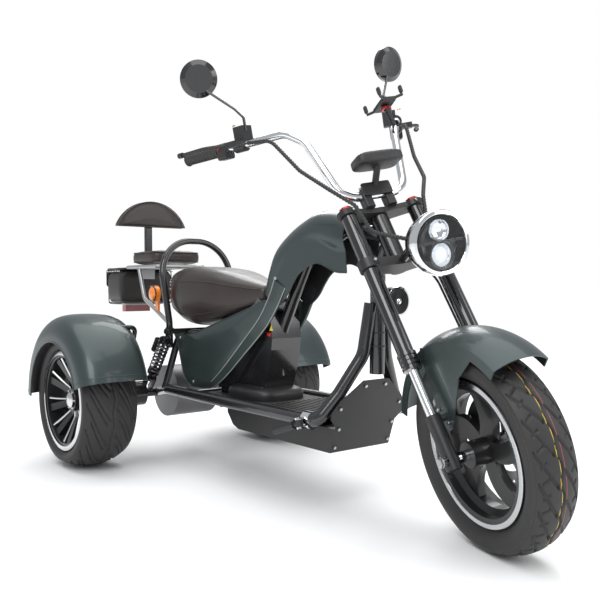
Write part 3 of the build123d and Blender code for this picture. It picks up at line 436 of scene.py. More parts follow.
def rear_grooves(turn, s):
    """Long flame-shaped grooves swept back from the middle, and a line round the crown."""
    phase = turn * REAR_PITCHES / (2 * pi)
    lean = phase + 1.9 * eased(s, 1.5) + 0.5 * (s > 0)
    flame = band((lean % 1) - 0.5, 0.05, 0.045) * (np.abs(s) > 0.08) * (np.abs(s) < 0.93)
    inner = band(((lean + 0.33) % 1) - 0.5, 0.03, 0.035) * (np.abs(s) > 0.22) * (np.abs(s) < 0.80)
    round_line = band(s - 0.03 * np.sin(turn * REAR_PITCHES), 0.012, 0.02)
    return np.maximum(np.maximum(flame, inner), round_line)


def tyre(piece, centre, size, grooves, depth):
    """The section turned round the axle, its radius less the depth where a groove runs."""
    section, half = tyre_section(*size), size[-1]
    turn = np.linspace(0, 2 * pi, TYRE_STEPS, endpoint=False)[:, None]
    radius, width = section[None, :, 0], section[None, :, 1]
    s = width / (half - 3)
    on_tread = radius > section[:, 0].max() - 0.42 * half
    radius = radius - grooves(turn, s) * depth * on_tread
    points = np.stack([radius * np.cos(turn), width + 0 * turn, radius * np.sin(turn)], -1) + centre
    marks = np.stack([turn + 0 * s, s * on_tread + 2.0 * (1 - on_tread) + 0 * turn], -1)
    piece.grid(points, wrap_u=True, wrap_v=True, marks=marks)


piece = Piece(steered=True)
tyre(piece, FRONT_AXLE, FRONT_TYRE, front_grooves, FRONT_GROOVE_DEEP)
tyre_object = piece.made("front_tyre_treaded", "front_wheel", ["front_tread"], "tyre_black", 50)
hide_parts("front_tyre")

for name, side in SIDES.items():
    piece = Piece()
    centre = np.array([0.0, side * WHEEL_Y, REAR_AXLE_Z])
    tyre(piece, centre, REAR_TYRE, rear_grooves, REAR_GROOVE_DEEP)
    tyre_object = piece.made(f"rear_tyre_treaded_{name}", f"rear_wheel_{name}", ["tyre_rubber"],
                             "tyre_black", 50)
    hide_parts(f"rear_tyre_{name}")

# Front wheel trim: bright rim ring and the bolts of the disc
FRONT_SPOKES = 5
piece = Piece(steered=True)
for side in (-1, 1):
    ring = [(158, 43.2), (170.4, 43.6), (170.8, 45.6), (169.5, 46.6), (159, 46.2)]
    piece.revolve([(r, side * y) for r, y in ring], FRONT_AXLE, (0, 1, 0), 120)
for k in range(FRONT_SPOKES):
    turn = 2 * pi * (k + 0.5) / FRONT_SPOKES
    spot = FRONT_AXLE + [22 * cos(turn), 47.5, 22 * sin(turn)]
    piece.bolt(spot, (0, 1, 0), 4.5, 4.0)
piece.made("front_rim_ring", "front_wheel", ["machined"], "disc_steel")

# Rear wheels: machined spoke edges, bright lip, hub cap and its bolts
REAR_SPOKES = 9
REAR_SPOKE_TURN = 13
HUB_BOLTS = 6
for name, side in SIDES.items():
    centre = np.array([0.0, side * WHEEL_Y, REAR_AXLE_Z])
    piece = Piece()
    ring = [(153, 85.6), (164, 86.4), (165.8, 84.0), (166.2, 86.8), (164, 88.0), (152, 87.2)]
    piece.revolve([(r, side * y) for r, y in ring], centre, (0, 1, 0), 120)
    for k in range(REAR_SPOKES):
        turn = radians(REAR_SPOKE_TURN + 360 / REAR_SPOKES * k) + pi / 2
        out, over = np.array([cos(turn), 0, sin(turn)]), np.array([-sin(turn), 0, cos(turn)])
        t = np.linspace(0, 1, 12)[:, None]
        reach = 42 + 101 * t
        rise = np.where(reach < 60, 37.2, 37.2 + (reach - 60) * 36 / 86)
        line = centre + out * reach + over * 2.0 * np.sin(pi * t) + np.array([0, side, 0]) * rise
        piece.sweep(line, np.repeat(3.2 + 1.6 * t, 10, 1), 10)
    cap = [(0, 55), (22, 55), (27, 57), (27, 60), (16, 66), (0, 67)]
    piece.revolve([(r, side * y) for r, y in cap], centre, (0, 1, 0), 40)
    for k in range(HUB_BOLTS):
        turn = 2 * pi * k / HUB_BOLTS
        piece.bolt(centre + [31 * cos(turn), side * 54, 31 * sin(turn)], (0, side, 0), 4.0, 3.5)
    piece.made(f"rear_rim_edges_{name}", f"rear_wheel_{name}", ["machined"], "disc_steel")

# Rear shock absorbers: coil springs on a shaft, with eyes and a black reservoir can
SHOCK_LOW = np.array([40.0, 165.0, 282.0])
SHOCK_HIGH = np.array([172.0, 165.0, 452.0])
COIL_R = 18.5
COIL_TURNS = 8.5
COIL_LENGTH = 132.0
piece = Piece()
for side in SIDES.values():
    low, high = SHOCK_LOW * [1, side, 1], SHOCK_HIGH * [1, side, 1]
    way = unit(high - low)
    first, second = across(way)
    piece.sweep([low, high], 6.5, 16, look=1)
    t = np.linspace(0, 1, 340)[:, None]
    angle = 2 * pi * COIL_TURNS * t
    spoke = COIL_R * (np.cos(angle) * first + np.sin(angle) * second)
    coil = low + way * 34 + way * COIL_LENGTH * t + spoke
    piece.sweep(coil, 3.4, 8, look=0)
    for at, thick in ((26, 6), (168, 8)):
        piece.revolve([(7, 0), (22, 0), (22, thick), (7, thick)], low + way * at, way, 32, look=1)
    for spot, radius in ((low, 12.5), (high, 15.5)):
        eye = [(6.3, -7.5), (radius, -7.5), (radius, 7.5), (6.3, 7.5)]
        piece.revolve(eye, spot, (0, 1, 0), 28, look=1)
    can = low + way * 118 + np.array([-30, 0, 26.0])
    piece.sweep(can + way * np.linspace(-24, 24, 5)[:, None], 13, 20, look=1)
spring_object = piece.made("rear_springs", "chassis", ["coil_steel", "black_gloss"], "shock_steel")
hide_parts("rear_shocks")


# Saddle: crowned leather cushion with a welt seam and a row of studs
# Columns: X, half width, low, high
SADDLE = np.array([
    (25, 68, 577, 640), (60, 100, 522, 660), (120, 122, 492, 671), (200, 132, 470, 674),
    (330, 120, 486, 662), (450, 84, 516, 632), (530, 58, 541, 613), (560, 48, 553, 607),
], float)
SADDLE_CURVE = through(SADDLE, 160)
SADDLE_REAR = 25
SADDLE_LENGTH = 535
SADDLE_SIDE = 0.6
SADDLE_TOP = 0.7


def saddle_at(x):
    """Half width, low and high of the saddle at x, read from the smooth curve of its rows."""
    return [np.interp(x, SADDLE_CURVE[:, 0], SADDLE_CURVE[:, k]) for k in (1, 2, 3)]


def saddle_surface(rows=72, sides=72):
    """Round sections along X: half width times a squared-off cosine against half height times
    a squared-off sine, drawn in at both ends by a circle and dished by a bell curve."""
    u = np.linspace(0, 1, rows)
    x = SADDLE_REAR + SADDLE_LENGTH * (0.5 - 0.5 * np.cos(pi * u))
    half, low, high = saddle_at(x)
    ends = np.clip(np.minimum(u, 1 - u) / 0.10, 0, 1)
    ends = np.sqrt(1 - (1 - ends) ** 2)
    turn = np.linspace(0, 2 * pi, sides, endpoint=False)
    c, s = eased(np.cos(turn), SADDLE_SIDE), eased(np.sin(turn), SADDLE_TOP)
    mid, tall = (low + high) / 2, (high - low) / 2
    dish = 5.0 * np.exp(-((x - 300) / 110) ** 2)[:, None]
    dish = dish * np.exp(-(c / 0.45) ** 2)[None] * (s > 0.4)[None]
    y = half[:, None] * ends[:, None] * c[None]
    z = mid[:, None] + (tall * ends)[:, None] * s[None] - dish
    return np.stack([x[:, None] + 0 * y, y, z], -1)


def saddle_point(x, turn):
    """A point of the saddle's surface, at a turn in degrees up from the level of its left side."""
    half, low, high = saddle_at(x)
    c = eased(cos(radians(turn)), SADDLE_SIDE)
    s = eased(sin(radians(turn)), SADDLE_TOP)
    return np.array([x, half * c, (low + high) / 2 + (high - low) / 2 * s])


piece = Piece()
piece.capped(saddle_surface())
saddle_object = piece.made("saddle_cushion", "chassis", ["saddle_leather"], "saddle_leather", 80)
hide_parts("saddle")

piece = Piece()
studs = Piece()
for turn in (22, 158):
    seam = np.array([saddle_point(x, turn) for x in np.linspace(60, 535, 60)])
    piece.sweep(seam, 2.2, 8)
for turn in (-32, 212):
    line = np.array([saddle_point(x, turn) for x in np.linspace(75, 520, 60)])
    piece.sweep(line, 2.0, 8)
    for at in range(9):
        rise = turn + (9 - at) * (7 if turn < 90 else -7)
        spot = saddle_point(78 + 3 * at, rise)
        studs.dome(spot, np.array([-0.5, 1 if turn < 90 else -1, 0.0]), 2.3, 2.0, 10)
piece.made("saddle_welt", "chassis", ["saddle_leather"], "saddle_leather", 80)
studs.made("saddle_studs", "chassis", ["chrome"], "chrome_bright", 80)


def pillow(piece, centre, size, ways=None, corner=0.32, crown=0.12, look=0, steps=40):
    """A stuffed pad: a ball whose sines and cosines are raised to powers, its height less the
    share crown at the rim and whole in the middle."""
    ways = np.eye(3) if ways is None else np.asarray(ways, float)
    u = np.linspace(-pi / 2, pi / 2, steps)[:, None]
    v = np.linspace(0, 2 * pi, 2 * steps, endpoint=False)[None, :]
    reach = eased(np.cos(u), 0.35)
    x, y = reach * eased(np.cos(v), corner), reach * eased(np.sin(v), corner)
    z = eased(np.sin(u), 0.5) * (1 + 0 * v)
    edge = np.clip(1 - np.maximum(np.abs(x), np.abs(y)) ** 3, 0, 1)
    z = z * (1 - crown + crown * edge)
    points = np.stack([x, y, z], -1) * np.asarray(size, float) / 2
    piece.grid(np.asarray(centre, float) + points @ ways, wrap_v=True, look=look)


# Pillion pad on the rack, with piping round its top and its foot
PAD = np.array([-146.0, 0.0, 713.0])
piece = Piece()
pillow(piece, PAD, (200, 204, 54))
pad_object = piece.made("pillion_cushion", "chassis", ["saddle_leather"], "saddle_leather", 80)
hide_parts("pillion_pad")


def rounded_loop(centre, size, corner, count=120, ways=((1, 0, 0), (0, 1, 0))):
    """A loop round a rectangle with rounded corners, in the plane of two directions: half of
    each size times the cosine or sine raised to the power corner."""
    turn = np.linspace(0, 2 * pi, count, endpoint=False)[:, None]
    x = eased(np.cos(turn), corner) * size[0] / 2
    y = eased(np.sin(turn), corner) * size[1] / 2
    return np.asarray(centre, float) + x * np.array(ways[0]) + y * np.array(ways[1])


piece = Piece()
for rise in (-16, 18):
    piece.sweep(rounded_loop(PAD + [0, 0, rise], (197, 201), 0.34), 2.2, 8, closed=True)
piece.made("pillion_piping", "chassis", ["saddle_leather"], "saddle_leather", 80)


# Backrest: a half-moon pad with piping
BACKREST_X = -265.0
BACKREST_Z = 840.0
BACKREST_HALF = 148.0
BACKREST_RISE = 98.0


def half_moon(deep, t):
    """The outline of the backrest, a flat foot and an arc through its crown, shrunk to t about
    its middle and set at a distance in front of the pad's mid plane."""
    arch = arc3((BACKREST_HALF, 0), (0, BACKREST_RISE), (-BACKREST_HALF, 0), 61)
    foot = np.stack([np.linspace(-BACKREST_HALF, BACKREST_HALF, 31)[1:-1], np.zeros(29)], 1)
    middle = np.array([0.0, 38.0])
    loop = middle + (np.concatenate([arch, foot]) - middle) * t
    x = np.full(len(loop), BACKREST_X + deep)
    return np.stack([x, loop[:, 0], BACKREST_Z + loop[:, 1]], 1)


piece = Piece()
rows = []
for u in np.linspace(-pi / 2, pi / 2, 25):
    rows.append(half_moon(17 * eased(sin(u), 0.55), max(0.02, cos(u) ** 0.35)))
piece.capped(rows)
rest_object = piece.made("backrest_cushion", "chassis", ["saddle_leather"], "saddle_leather", 80)
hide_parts("backrest_pad")
piece = Piece()
for deep in (-14, 13):
    piece.sweep(half_moon(deep, 0.985), 2.0, 8, closed=True)
piece.made("backrest_piping", "chassis", ["saddle_leather"], "saddle_leather", 80)

# Bag: soft box with a flap, two straps, buckles and studs
BAG = np.array([-363.5, 0.0, 602.5])
STRAPS = (-62, 62)
piece = Piece()
pillow(piece, BAG, (131, 235, 148), corner=0.2, crown=0.05)
bag_object = piece.made("bag_body", "chassis", ["bag_leather"], "bag_leather", 80)
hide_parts("rear_bag")
piece = Piece()
piece.block(BAG + [0, 0, 71], (134, 238, 8), soft=0.2)
piece.block(BAG + [-66.5, 0, 35.5], (5, 234, 74), soft=0.2)
for y in STRAPS:
    piece.block(BAG + [-70, y, 9.5], (4, 24, 118), soft=0.25)
    piece.block(BAG + [0, y, 75.5], (136, 24, 4), soft=0.25)
piece.sweep(rounded_loop(BAG + [0, 0, -62.5], (127, 231), 0.22), 2.0, 8, closed=True)
for y in (-110, 110):
    seam = rounded_loop(BAG + [0, y, -0.5], (120, 134), 0.22, ways=((1, 0, 0), (0, 0, 1)))
    piece.sweep(seam, 2.0, 8, closed=True)
piece.made("bag_flap", "chassis", ["bag_leather"], "bag_leather", 80)
piece = Piece()
for y in STRAPS:
    loop = rounded_loop((-437, y, 590), (32, 24), 0.2, 40, ((0, 1, 0), (0, 0, 1)))
    piece.sweep(loop, 1.8, 8, closed=True)
    piece.sweep([(-437, y, 602), (-437, y, 576)], 1.3, 8)
for y in np.linspace(-108, 108, 15):
    piece.dome((-432, y, 606), (-1, 0, 0), 3.2, 2.5, 10)
for side in (-1, 1):
    for x in np.linspace(-418, -310, 8):
        piece.dome((x, side * 117.5, 664), (0, side, 0), 3.2, 2.5, 10)
piece.made("bag_studs", "chassis", ["chrome"], "chrome_bright", 80)

# Grips: rubber with rings and a flange
BAR_END = np.array([553.0, 357.0, 1036.0])
BAR_WAY = unit(np.array([872.0, 172.0, 1045.0]) - BAR_END)
piece = Piece(steered=True)
for side in SIDES.values():
    end, way = BAR_END * [1, side, 1], BAR_WAY * [1, side, 1]
    t = np.linspace(-6, 125, 132)
    radius = 15.2 + 1.2 * (np.sin(t * 2 * pi / 6.5) > 0)
    radius = np.where((t < -1) | (t > 119), 18.5, radius)
    radius = np.where((t < 2) & (t > -3), 16.5, radius)
    piece.sweep(end + way * t[:, None], np.repeat(radius[:, None], 24, 1), 24)
grip_object = piece.made("grips_ribbed", "steering", ["mat_rubber"], "grip_rubber", 40)
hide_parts("grips")

# Looms in spiral wrap along the bars, down to the lamp
LOOM = [
    (778.5, 247.8, 1042), (858, 212, 1034), (940, 175, 938), (1033, 140, 874),
    (1080, 100, 827), (1113, 80, 755), (1206, 20, 722),
]
LOOM_BENDS = [60, 60, 60, 40, 40]
LOOM_STEP = 1.6
WRAP_PITCH = 9
for name, side in SIDES.items():
    path = filleted(np.array(LOOM) * [1, side, 1], LOOM_BENDS, LOOM_STEP)
    t = np.arange(len(path))[:, None] * LOOM_STEP
    turn = np.linspace(0, 2 * pi, 12, endpoint=False)[None]
    radius = 5.0 + 0.6 * np.clip(3 * np.sin(t * 2 * pi / WRAP_PITCH - turn), -1, 1)
    piece = Piece(steered=True)
    piece.sweep(path, radius, 12)
    loom_object = piece.made(f"loom_wrap_{name}", "steering", ["black_plastic"], "cable_black", 70)
    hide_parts(f"cable_loom_{name}")

# Headlight: bowl, reflector, lamps behind the glass, bright bezel
LAMP = np.array([1290.0, 0.0, 711.0])
FORWARD = np.array([1.0, 0.0, 0.0])
piece = Piece(steered=True)
back = arc3((-92, 30), (-62, 60), (-16, 71), 15)
front_rows = [(0, -92)] + [(r, x) for x, r in back] + [(71, -10), (66, -4)]
inner = [(66 * cos(a), -6 - 40 * sin(a)) for a in np.linspace(0, pi / 2, 10)]
piece.revolve(front_rows + inner, LAMP, FORWARD, 72)
piece.sweep([head_point(30.4, 0, -46), head_point(90, 0, -46), (1214, 0, 712)], 11.5, 20)
bowl_object = piece.made("headlight_bowl", "steering", ["black_gloss"], "switch_black")
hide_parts("headlight")
piece = Piece(steered=True)
rim = [(66, -5), (71, -14), (77, -14), (77.5, -2), (75, 3), (68, 4.6), (66, 3)]
piece.revolve(rim, LAMP, FORWARD, 96)
for z, radius, deep in ((30, 26, 16), (-28, 30, 20)):
    cup = [(radius * cos(a), -4 - deep * sin(a)) for a in np.linspace(0, 1.45, 9)]
    cup += [(radius * cos(a) + 1.5, -6 - deep * sin(a)) for a in np.linspace(1.45, 0, 9)]
    piece.revolve(cup, LAMP + [0, 0, z], FORWARD, 48)
piece.made("headlight_bezel", "steering", ["chrome"], "chrome_bright")
piece = Piece(steered=True)
piece.block(LAMP + [-6, 0, 2], (5, 122, 7), soft=0.3)
ring = [(28, -12), (34, -12), (34, -4), (31, -3), (28, -5)]
piece.revolve(ring, LAMP + [0, 0, -28], FORWARD, 48)
piece.made("headlight_divider", "steering", ["black_gloss"], "switch_black")
piece = Piece(steered=True)
piece.dome(LAMP + [-16, 0, -28], FORWARD, 20, 11, 40)
piece.block(LAMP + [-17, 0, 30], (4, 24, 9), soft=0.3)
piece.made("headlight_lamps", "steering", ["led"], "lamp_glass")

# Horn: bright rim and a ribbed face
HORN = np.array([1084.0, 0.0, 566.0])
piece = Piece()
piece.revolve([(33, 0), (37.6, -8), (39, -2), (37, 3), (33, 3)], HORN, FORWARD, 60)
piece.dome(HORN, FORWARD, 9, 5, 24)
piece.made("horn_rim", "chassis", ["chrome"], "chrome_bright")
piece = Piece()
for radius in (15, 21, 27):
    piece.revolve([(radius, 0), (radius + 3, 0), (radius + 3, 2), (radius, 2)], HORN, FORWARD, 48)
piece.made("horn_ribs", "chassis", ["black_satin"], "horn_black")

# Mirror glass and bezels
MIRROR = np.array([632.0, 315.0, 1255.0])
glass, bezel = Piece(steered=True), Piece(steered=True)
for side in SIDES.values():
    look = unit(np.array([cos(radians(13)), side * sin(radians(13)), -0.12]))
    spot = MIRROR * [1, side, 1] - look * 6
    glass.revolve([(0, -1), (49.5, -1), (49.5, 0.8), (0, 0.8)], spot, -look, 72)
    bezel.revolve([(49, -1), (53.6, -1), (53.8, 0.5), (50.5, 2.2), (49, 1)], spot, -look, 72)
glass.made("mirror_glass", "steering", ["mirror"], "chrome_bright")
bezel.made("mirror_bezels", "steering", ["black_gloss"], "switch_black")

# Display: a pod on a bracket over the middle of the bar, and its screen
DISPLAY = np.array([1046.0, 0.0, 918.0])
BAR_MIDDLE = np.array([1010.0, 0.0, 845.0])
up = unit(np.array([-0.35, 0.0, 1.0]))
forward = np.cross([0, 1, 0], up)
piece = Piece(steered=True)
piece.block(DISPLAY + up * 15, (74, 132, 31), ways=(forward, (0, 1, 0), up), soft=0.42)
bracket = BAR_MIDDLE + HEAD_FORWARD * 19.3 + HEAD_WAY * 10
piece.block(bracket, (6, 84, 38), ways=(HEAD_FORWARD, (0, 1, 0), HEAD_WAY), soft=0.15)
piece.sweep([bracket + HEAD_WAY * 12, DISPLAY + up * 6], 9, 20)
pod_object = piece.made("display_pod", "steering", ["black_plastic"], "switch_black")
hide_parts("display")
piece = Piece(steered=True)
piece.block(DISPLAY + up * 30.5, (56, 110, 4), ways=(forward, (0, 1, 0), up), soft=0.45)
piece.made("display_screen", "steering", ["screen"], "switch_black")

# Phone holder: a small plate with four claws on an arm clamped to the bar
tilt = radians(22)
hold_up, hold_on = np.array([-sin(tilt), 0, cos(tilt)]), np.array([cos(tilt), 0, sin(tilt)])
hold = np.array([915.0, 118.0, 1090.0])
piece = Piece(steered=True)
piece.block(hold, (72, 46, 10), ways=(hold_on, (0, 1, 0), hold_up), soft=0.3)
piece.sweep([(893, 155, 1030), hold - hold_up * 6], 8, 20)
piece.revolve([(12, -9), (18, -9), (18, 9), (12, 9)], (884, 164, 1044), (0.86, -0.5, 0), 28)
for on in (-1, 1):
    for left in (-1, 1):
        tip = hold + hold_on * 46 * on + np.array([0, 34.0 * left, 0])
        piece.sweep([hold + hold_on * 20 * on, tip, tip + hold_up * 20], 4.2, 12)
        piece.block(tip + hold_up * 16, (12, 8, 22), ways=(hold_on, (0, 1, 0), hold_up), soft=0.4)
holder_object = piece.made("phone_claw", "steering", ["black_plastic"], "switch_black")
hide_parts("phone_holder")

# Red ring of the phone holder and a red button on each switch block
piece = Piece(steered=True)
piece.revolve([(8, -3), (13, -3), (13, 3), (8, 3)], hold - hold_up * 13, hold_up, 32)
for side in SIDES.values():
    start = BAR_END * [1, side, 1] + BAR_WAY * [1, side, 1] * 146
    piece.bolt(start + [0, side * 20, 4], (0.3, side, 0.1), 4.5, 4, 14)
piece.made("red_details", "steering", ["red_metal"], "cap_red")

# Two screws at each reservoir and the bolt of each lever's perch
piece = Piece(steered=True)
for side in SIDES.values():
    start = BAR_END * [1, side, 1] + BAR_WAY * [1, side, 1] * 209
    for x in (0, 12):
        piece.bolt(start + [x, side * 16, 56], (0, 0, 1), 2.6, 2.4, 10)
    piece.bolt(start + np.array([30, -side * 14, -2]), (1, 0, 0), 6, 8, 6)
piece.made("lever_fittings", "steering", ["brass"], "chrome_bright")

# Bolts that ride with the steering: bar clamps, fork clamps, fender ears, caliper and axle nuts
piece = Piece(steered=True)
for left in (-42, -22, 22, 42):
    for forward_at in (-10, 10):
        spot = BAR_MIDDLE + [0, left, 0] + HEAD_WAY * 17 + HEAD_FORWARD * forward_at
        piece.bolt(spot, HEAD_WAY, 4, 5, 12)
for along in (-46, 106):
    for left in (-99, 99):
        spot = head_point(52, left * 0.93, along)
        piece.bolt(spot, HEAD_FORWARD, 4.2, 6, 12)
for side in (-1, 1):
    for x, z in ((-72, 96), (-36, 72)):
        piece.bolt(FRONT_AXLE + [x, side * 72.6, z], (0, side, 0), 4.5, 4, 6)
    piece.bolt(FRONT_AXLE + [0, side * 127.5, 0], (0, side, 0), 12.0, 7.0, 6)
for turn in (-60, -45, -30):
    spot = FRONT_AXLE + [112 * sin(radians(turn)), 65.2, 112 * cos(radians(turn))]
    piece.bolt(spot, (0, 1, 0), 4.5, 4, 6)
piece.made("steering_bolts", "steering", ["steel"], "chrome_bright")

# Bolts on the chassis: front plate, neck cover, side panels and rear axle
PLATE = np.array([938.0, 0.0, 162.0])
PLATE_LEAN = radians(18.6)
PANEL_LEAN = radians(7)
plate_up = np.array([sin(PLATE_LEAN), 0, cos(PLATE_LEAN)])
plate_out = np.array([cos(PLATE_LEAN), 0, -sin(PLATE_LEAN)])
piece = Piece()
for y, rise in ((36, 190), (108, 130), (98, 16), (98, 70)):
    for side in (-1, 1):
        spot = PLATE + plate_up * rise + [0, side * y, 0] + plate_out * 0.2
        piece.bolt(spot, plate_out, 5, 4.5, 6)
for side in SIDES.values():
    piece.bolt((640, side * 62.4, 628), (0, side, 0), 6.5, 4.0, 24)
    for x, z in ((175, 430), (245, 284)):
        piece.bolt((x, side * (141.5 - x * sin(PANEL_LEAN)), z), (0, side, 0), 5, 5.0, 14)
    piece.bolt((0, side * 452, REAR_AXLE_Z), (0, side, 0), 8.0, 3.0, 6)
piece.made("chassis_bolts", "chassis", ["steel"], "chrome_bright")

# Dark rings and orange lenses of the marker lamps
MARKER = np.array([-12.0, 129.5, 578.0])
piece = Piece()
for side in SIDES.values():
    spot = (MARKER + [0, 0.7, 0]) * [1, side, 1]
    piece.revolve([(25, -1), (30.5, -1), (31, 2), (28, 3.5), (25, 1.5)], spot, (0, side, 0), 48)
piece.made("marker_rings", "chassis", ["black_gloss"], "frame_black")
piece = Piece()
for side in SIDES.values():
    piece.dome(MARKER * [1, side, 1], (0, side, 0), 26, 9, 40)
piece.made("marker_lenses", "chassis", ["lamp_orange"], "lamp_orange")

# Red switch on the pillar and a bare yellow triangle over it
SWITCH = np.array([598.0, -56.3, 458.0])
piece = Piece()
piece.block(SWITCH + [0, -1, 0], (16, 5, 11), soft=0.25)
piece.made("power_switch", "chassis", ["lamp_red"], "lamp_red")
piece = Piece()
corner = SWITCH + [2, -0.2, 12]
label = np.array([corner, corner + [9, 0, 18], corner + [18, 0, 0]])
piece.grid(np.stack([label, label + [0, -0.6, 0]]), wrap_v=True)
piece.faces += [[0, 1, 2], [5, 4, 3]]
piece.look += [0, 0]
piece.made("blank_label", "chassis", ["label_yellow"], "frame_black")

# Rear fenders: one smooth section turned over the tyre, with rolled edges
# Columns: radius and distance outboard of the fender's middle
FENDER = [
    (270, -102), (281, -82), (286.5, -42), (288, 0), (286.5, 42), (279, 76), (262, 99),
    (236, 112), (198, 116),
]
FENDER_WALL = 3.0
FENDER_OUT = 5
FENDER_ENDS = (17, 181)
FENDER_STEPS = 90


def fender_arch(rows, side):
    """Rows of radius and width turned from the front of the fender to its back."""
    turn = np.radians(np.linspace(*FENDER_ENDS, FENDER_STEPS))[:, None]
    radius, width = rows[None, :, 0], rows[None, :, 1]
    centre = np.array([0.0, side * (WHEEL_Y + FENDER_OUT), REAR_AXLE_Z])
    arch = np.stack([radius * np.cos(turn), side * width + 0 * turn, radius * np.sin(turn)], -1)
    return centre + arch


section = through(FENDER, 40)
slope = unit(np.gradient(section, axis=0))
inside = section + FENDER_WALL * np.stack([-slope[:, 1], slope[:, 0]], 1)
for name, side in SIDES.items():
    piece = Piece()
    outer, inner = fender_arch(section, side), fender_arch(inside, side)
    piece.skin(outer, inner)
    for edge in (outer[:, 0], outer[:, -1]):
        piece.sweep(edge, 2.4, 10)
    for k in (2, FENDER_STEPS - 3):
        piece.sweep(outer[k], 1.6, 8)
    # The second finish, black satin, paints shade on the inner face under the fender.
    skin_object = piece.made(f"fender_skin_{name}", "chassis", ["body_green", "black_satin"],
                             "body_green", 50)
    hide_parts(f"rear_fender_{name}")

# Neck cover: arched sheet metal with painted shade (black satin) on its inside, a rolled lower edge and a
# strip on its crown
# Columns: crown X and Z, lower edge X and Z, height of the side crease
COVER = [
    (940, 800, 952, 641, 60), (893, 812, 905, 645, 62), (802, 818, 840, 668, 72),
    (735, 800, 798, 663, 80), (664, 766, 752, 642, 84), (606, 722, 722, 613, 80),
    (572, 664, 690, 574, 76), (550, 606, 640, 540, 56),
]


def cover_arches(half, wall, count=70):
    """Arches along the cover: straight sides up to the crease, then a circle over the crown,
    each in the plane of its own crown and lower edge, all set in by the wall."""
    arches = []
    for crown_x, crown_z, low_x, low_z, crease in through(COVER, count):
        low, rise = np.array([low_x, 0, low_z]), np.array([crown_x - low_x, 0, crown_z - low_z])
        tall = np.linalg.norm(rise)
        side_rows = np.stack([np.full(8, half), np.linspace(0, crease, 8)], 1)
        top = arc3((half, crease), (0, tall - wall), (-half, crease), 33)
        rows = np.concatenate([side_rows[:-1], top, side_rows[::-1][1:] * [-1, 1]])
        arches.append(low + rows[:, :1] * np.array([0, 1, 0]) + rows[:, 1:] * rise / tall)
    return np.array(arches)


COVER_HALF = 62.0
COVER_WALL = 3.0
piece = Piece()
outer, inner = cover_arches(COVER_HALF, 0.0), cover_arches(COVER_HALF - COVER_WALL, COVER_WALL)
piece.skin(outer, inner)
# The second finish, black satin, paints shade on the inner face of the cover.
cover_object = piece.made("neck_cover_skin", "chassis", ["body_green", "black_satin"], "body_green", 40)
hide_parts("neck_cover")
piece = Piece()
for edge in (outer[:, 0], outer[:, -1]):
    piece.sweep(edge, 2.2, 8)
piece.made("cover_edge", "chassis", ["body_green"], "body_green")
piece = Piece()
crown = np.array([(row[0], 0.0, row[1] + 1.0) for row in COVER[:4]])
u = np.linspace(0, 1, 24)
path = np.stack([np.interp(u * 3, range(4), crown[:, k]) for k in range(3)], 1)
strip = []
for spot in path:
    t = np.linspace(-1, 1, 9)
    top = np.stack([spot[0] + 0 * t, 17 * t, spot[2] + 1.6 - 3.6 * t * t], 1)
    strip.append(np.concatenate([top, top[::-1] - [0, 0, 3.5]]))
piece.capped(strip)
piece.made("cover_strip", "chassis", ["black_satin"], "box_black")

# Side panels: bulged sheet with a raised border, and a strap up to the neck cover
PANEL = [
    (121, 462), (155, 414), (192, 303), (228, 272), (272, 268), (318, 270), (350, 280),
    (412, 326), (577, 474), (606, 505), (600, 560), (524, 536), (430, 506), (300, 464),
    (236, 446), (150, 440),
]


def panel_point(rows, side, out):
    """Rows of distance and height on the side plane, which leans in by PANEL_LEAN towards the
    front, moved outward."""
    rows = np.asarray(rows, float)
    x, z = rows[..., 0], rows[..., 1]
    y = side * (140 - x * sin(PANEL_LEAN) + out)
    return np.stack([x * cos(PANEL_LEAN), y, z], -1)


closed_rows = through(np.array(PANEL + PANEL[:3]), 217)[:-24]
panel_middle = np.array([350.0, 410.0])
for name, side in SIDES.items():
    spread = np.linspace(1, 0, 14)[:, None]
    rows = panel_middle + (closed_rows[None] - panel_middle) * spread[..., None]
    bulge = 13 * (1 - spread ** 2.4)
    outer = panel_point(rows, side, 1.0 + bulge)
    inner = panel_point(rows, side, -2.5 + bulge)
    piece = Piece()
    piece.grid(outer, wrap_v=True)
    piece.grid(inner, wrap_v=True)
    piece.grid(np.stack([outer[0], inner[0]]), wrap_v=True)
    panel_object = piece.made(f"side_panel_skin_{name}", "chassis", ["body_green"], "body_green", 60)
    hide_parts(f"side_panel_{name}")
    strap = through([(668, 612), (640, 560), (590, 492), (500, 408), (412, 329), (352, 284)], 40)
    slope = unit(np.gradient(strap, axis=0))
    beside = np.stack([slope[:, 1], -slope[:, 0]], 1)
    half = np.linspace(26, 11, 40)
    around = [(-1, -3), (-1, 2.5), (-0.8, 5), (0.8, 5), (1, 2.5), (1, -3)]
    loops = np.stack([panel_point(strap + beside * (w * half)[:, None], side, 3 + deep)
                      for w, deep in around], 1)
    piece = Piece()
    piece.capped(loops)
    piece.made(f"side_strap_{name}", "chassis", ["body_green"], "body_green", 30)
    piece = Piece()
    for w in (-1, 1):
        line = panel_point(strap + beside * (w * half)[:, None], side, 6.5)
        piece.sweep(line, 1.7, 8)
    piece.made(f"strap_trim_{name}", "chassis", ["trim_pale"], "body_green")
    piece = Piece()
    piece.sweep(panel_point(closed_rows, side, 1.2), 2.2, 8, closed=True)
    piece.made(f"panel_border_{name}", "chassis", ["body_green"], "body_green")

# Low hump at the foot of the pillar, with its key
piece = Piece()
piece.block((500, 0, 262), (230, 190, 66), soft=0.55)
piece.made("pillar_hump", "chassis", ["black_satin"], "box_black", 60)
piece = Piece()
piece.revolve([(0, -2), (9, -2), (9, 3), (6, 5), (0, 5)], (560, -48, 291), (0.3, -0.2, 1), 24)
piece.block((562, -49, 304), (3, 12, 18), soft=0.4)
piece.made("key_switch", "chassis", ["steel"], "chrome_bright")

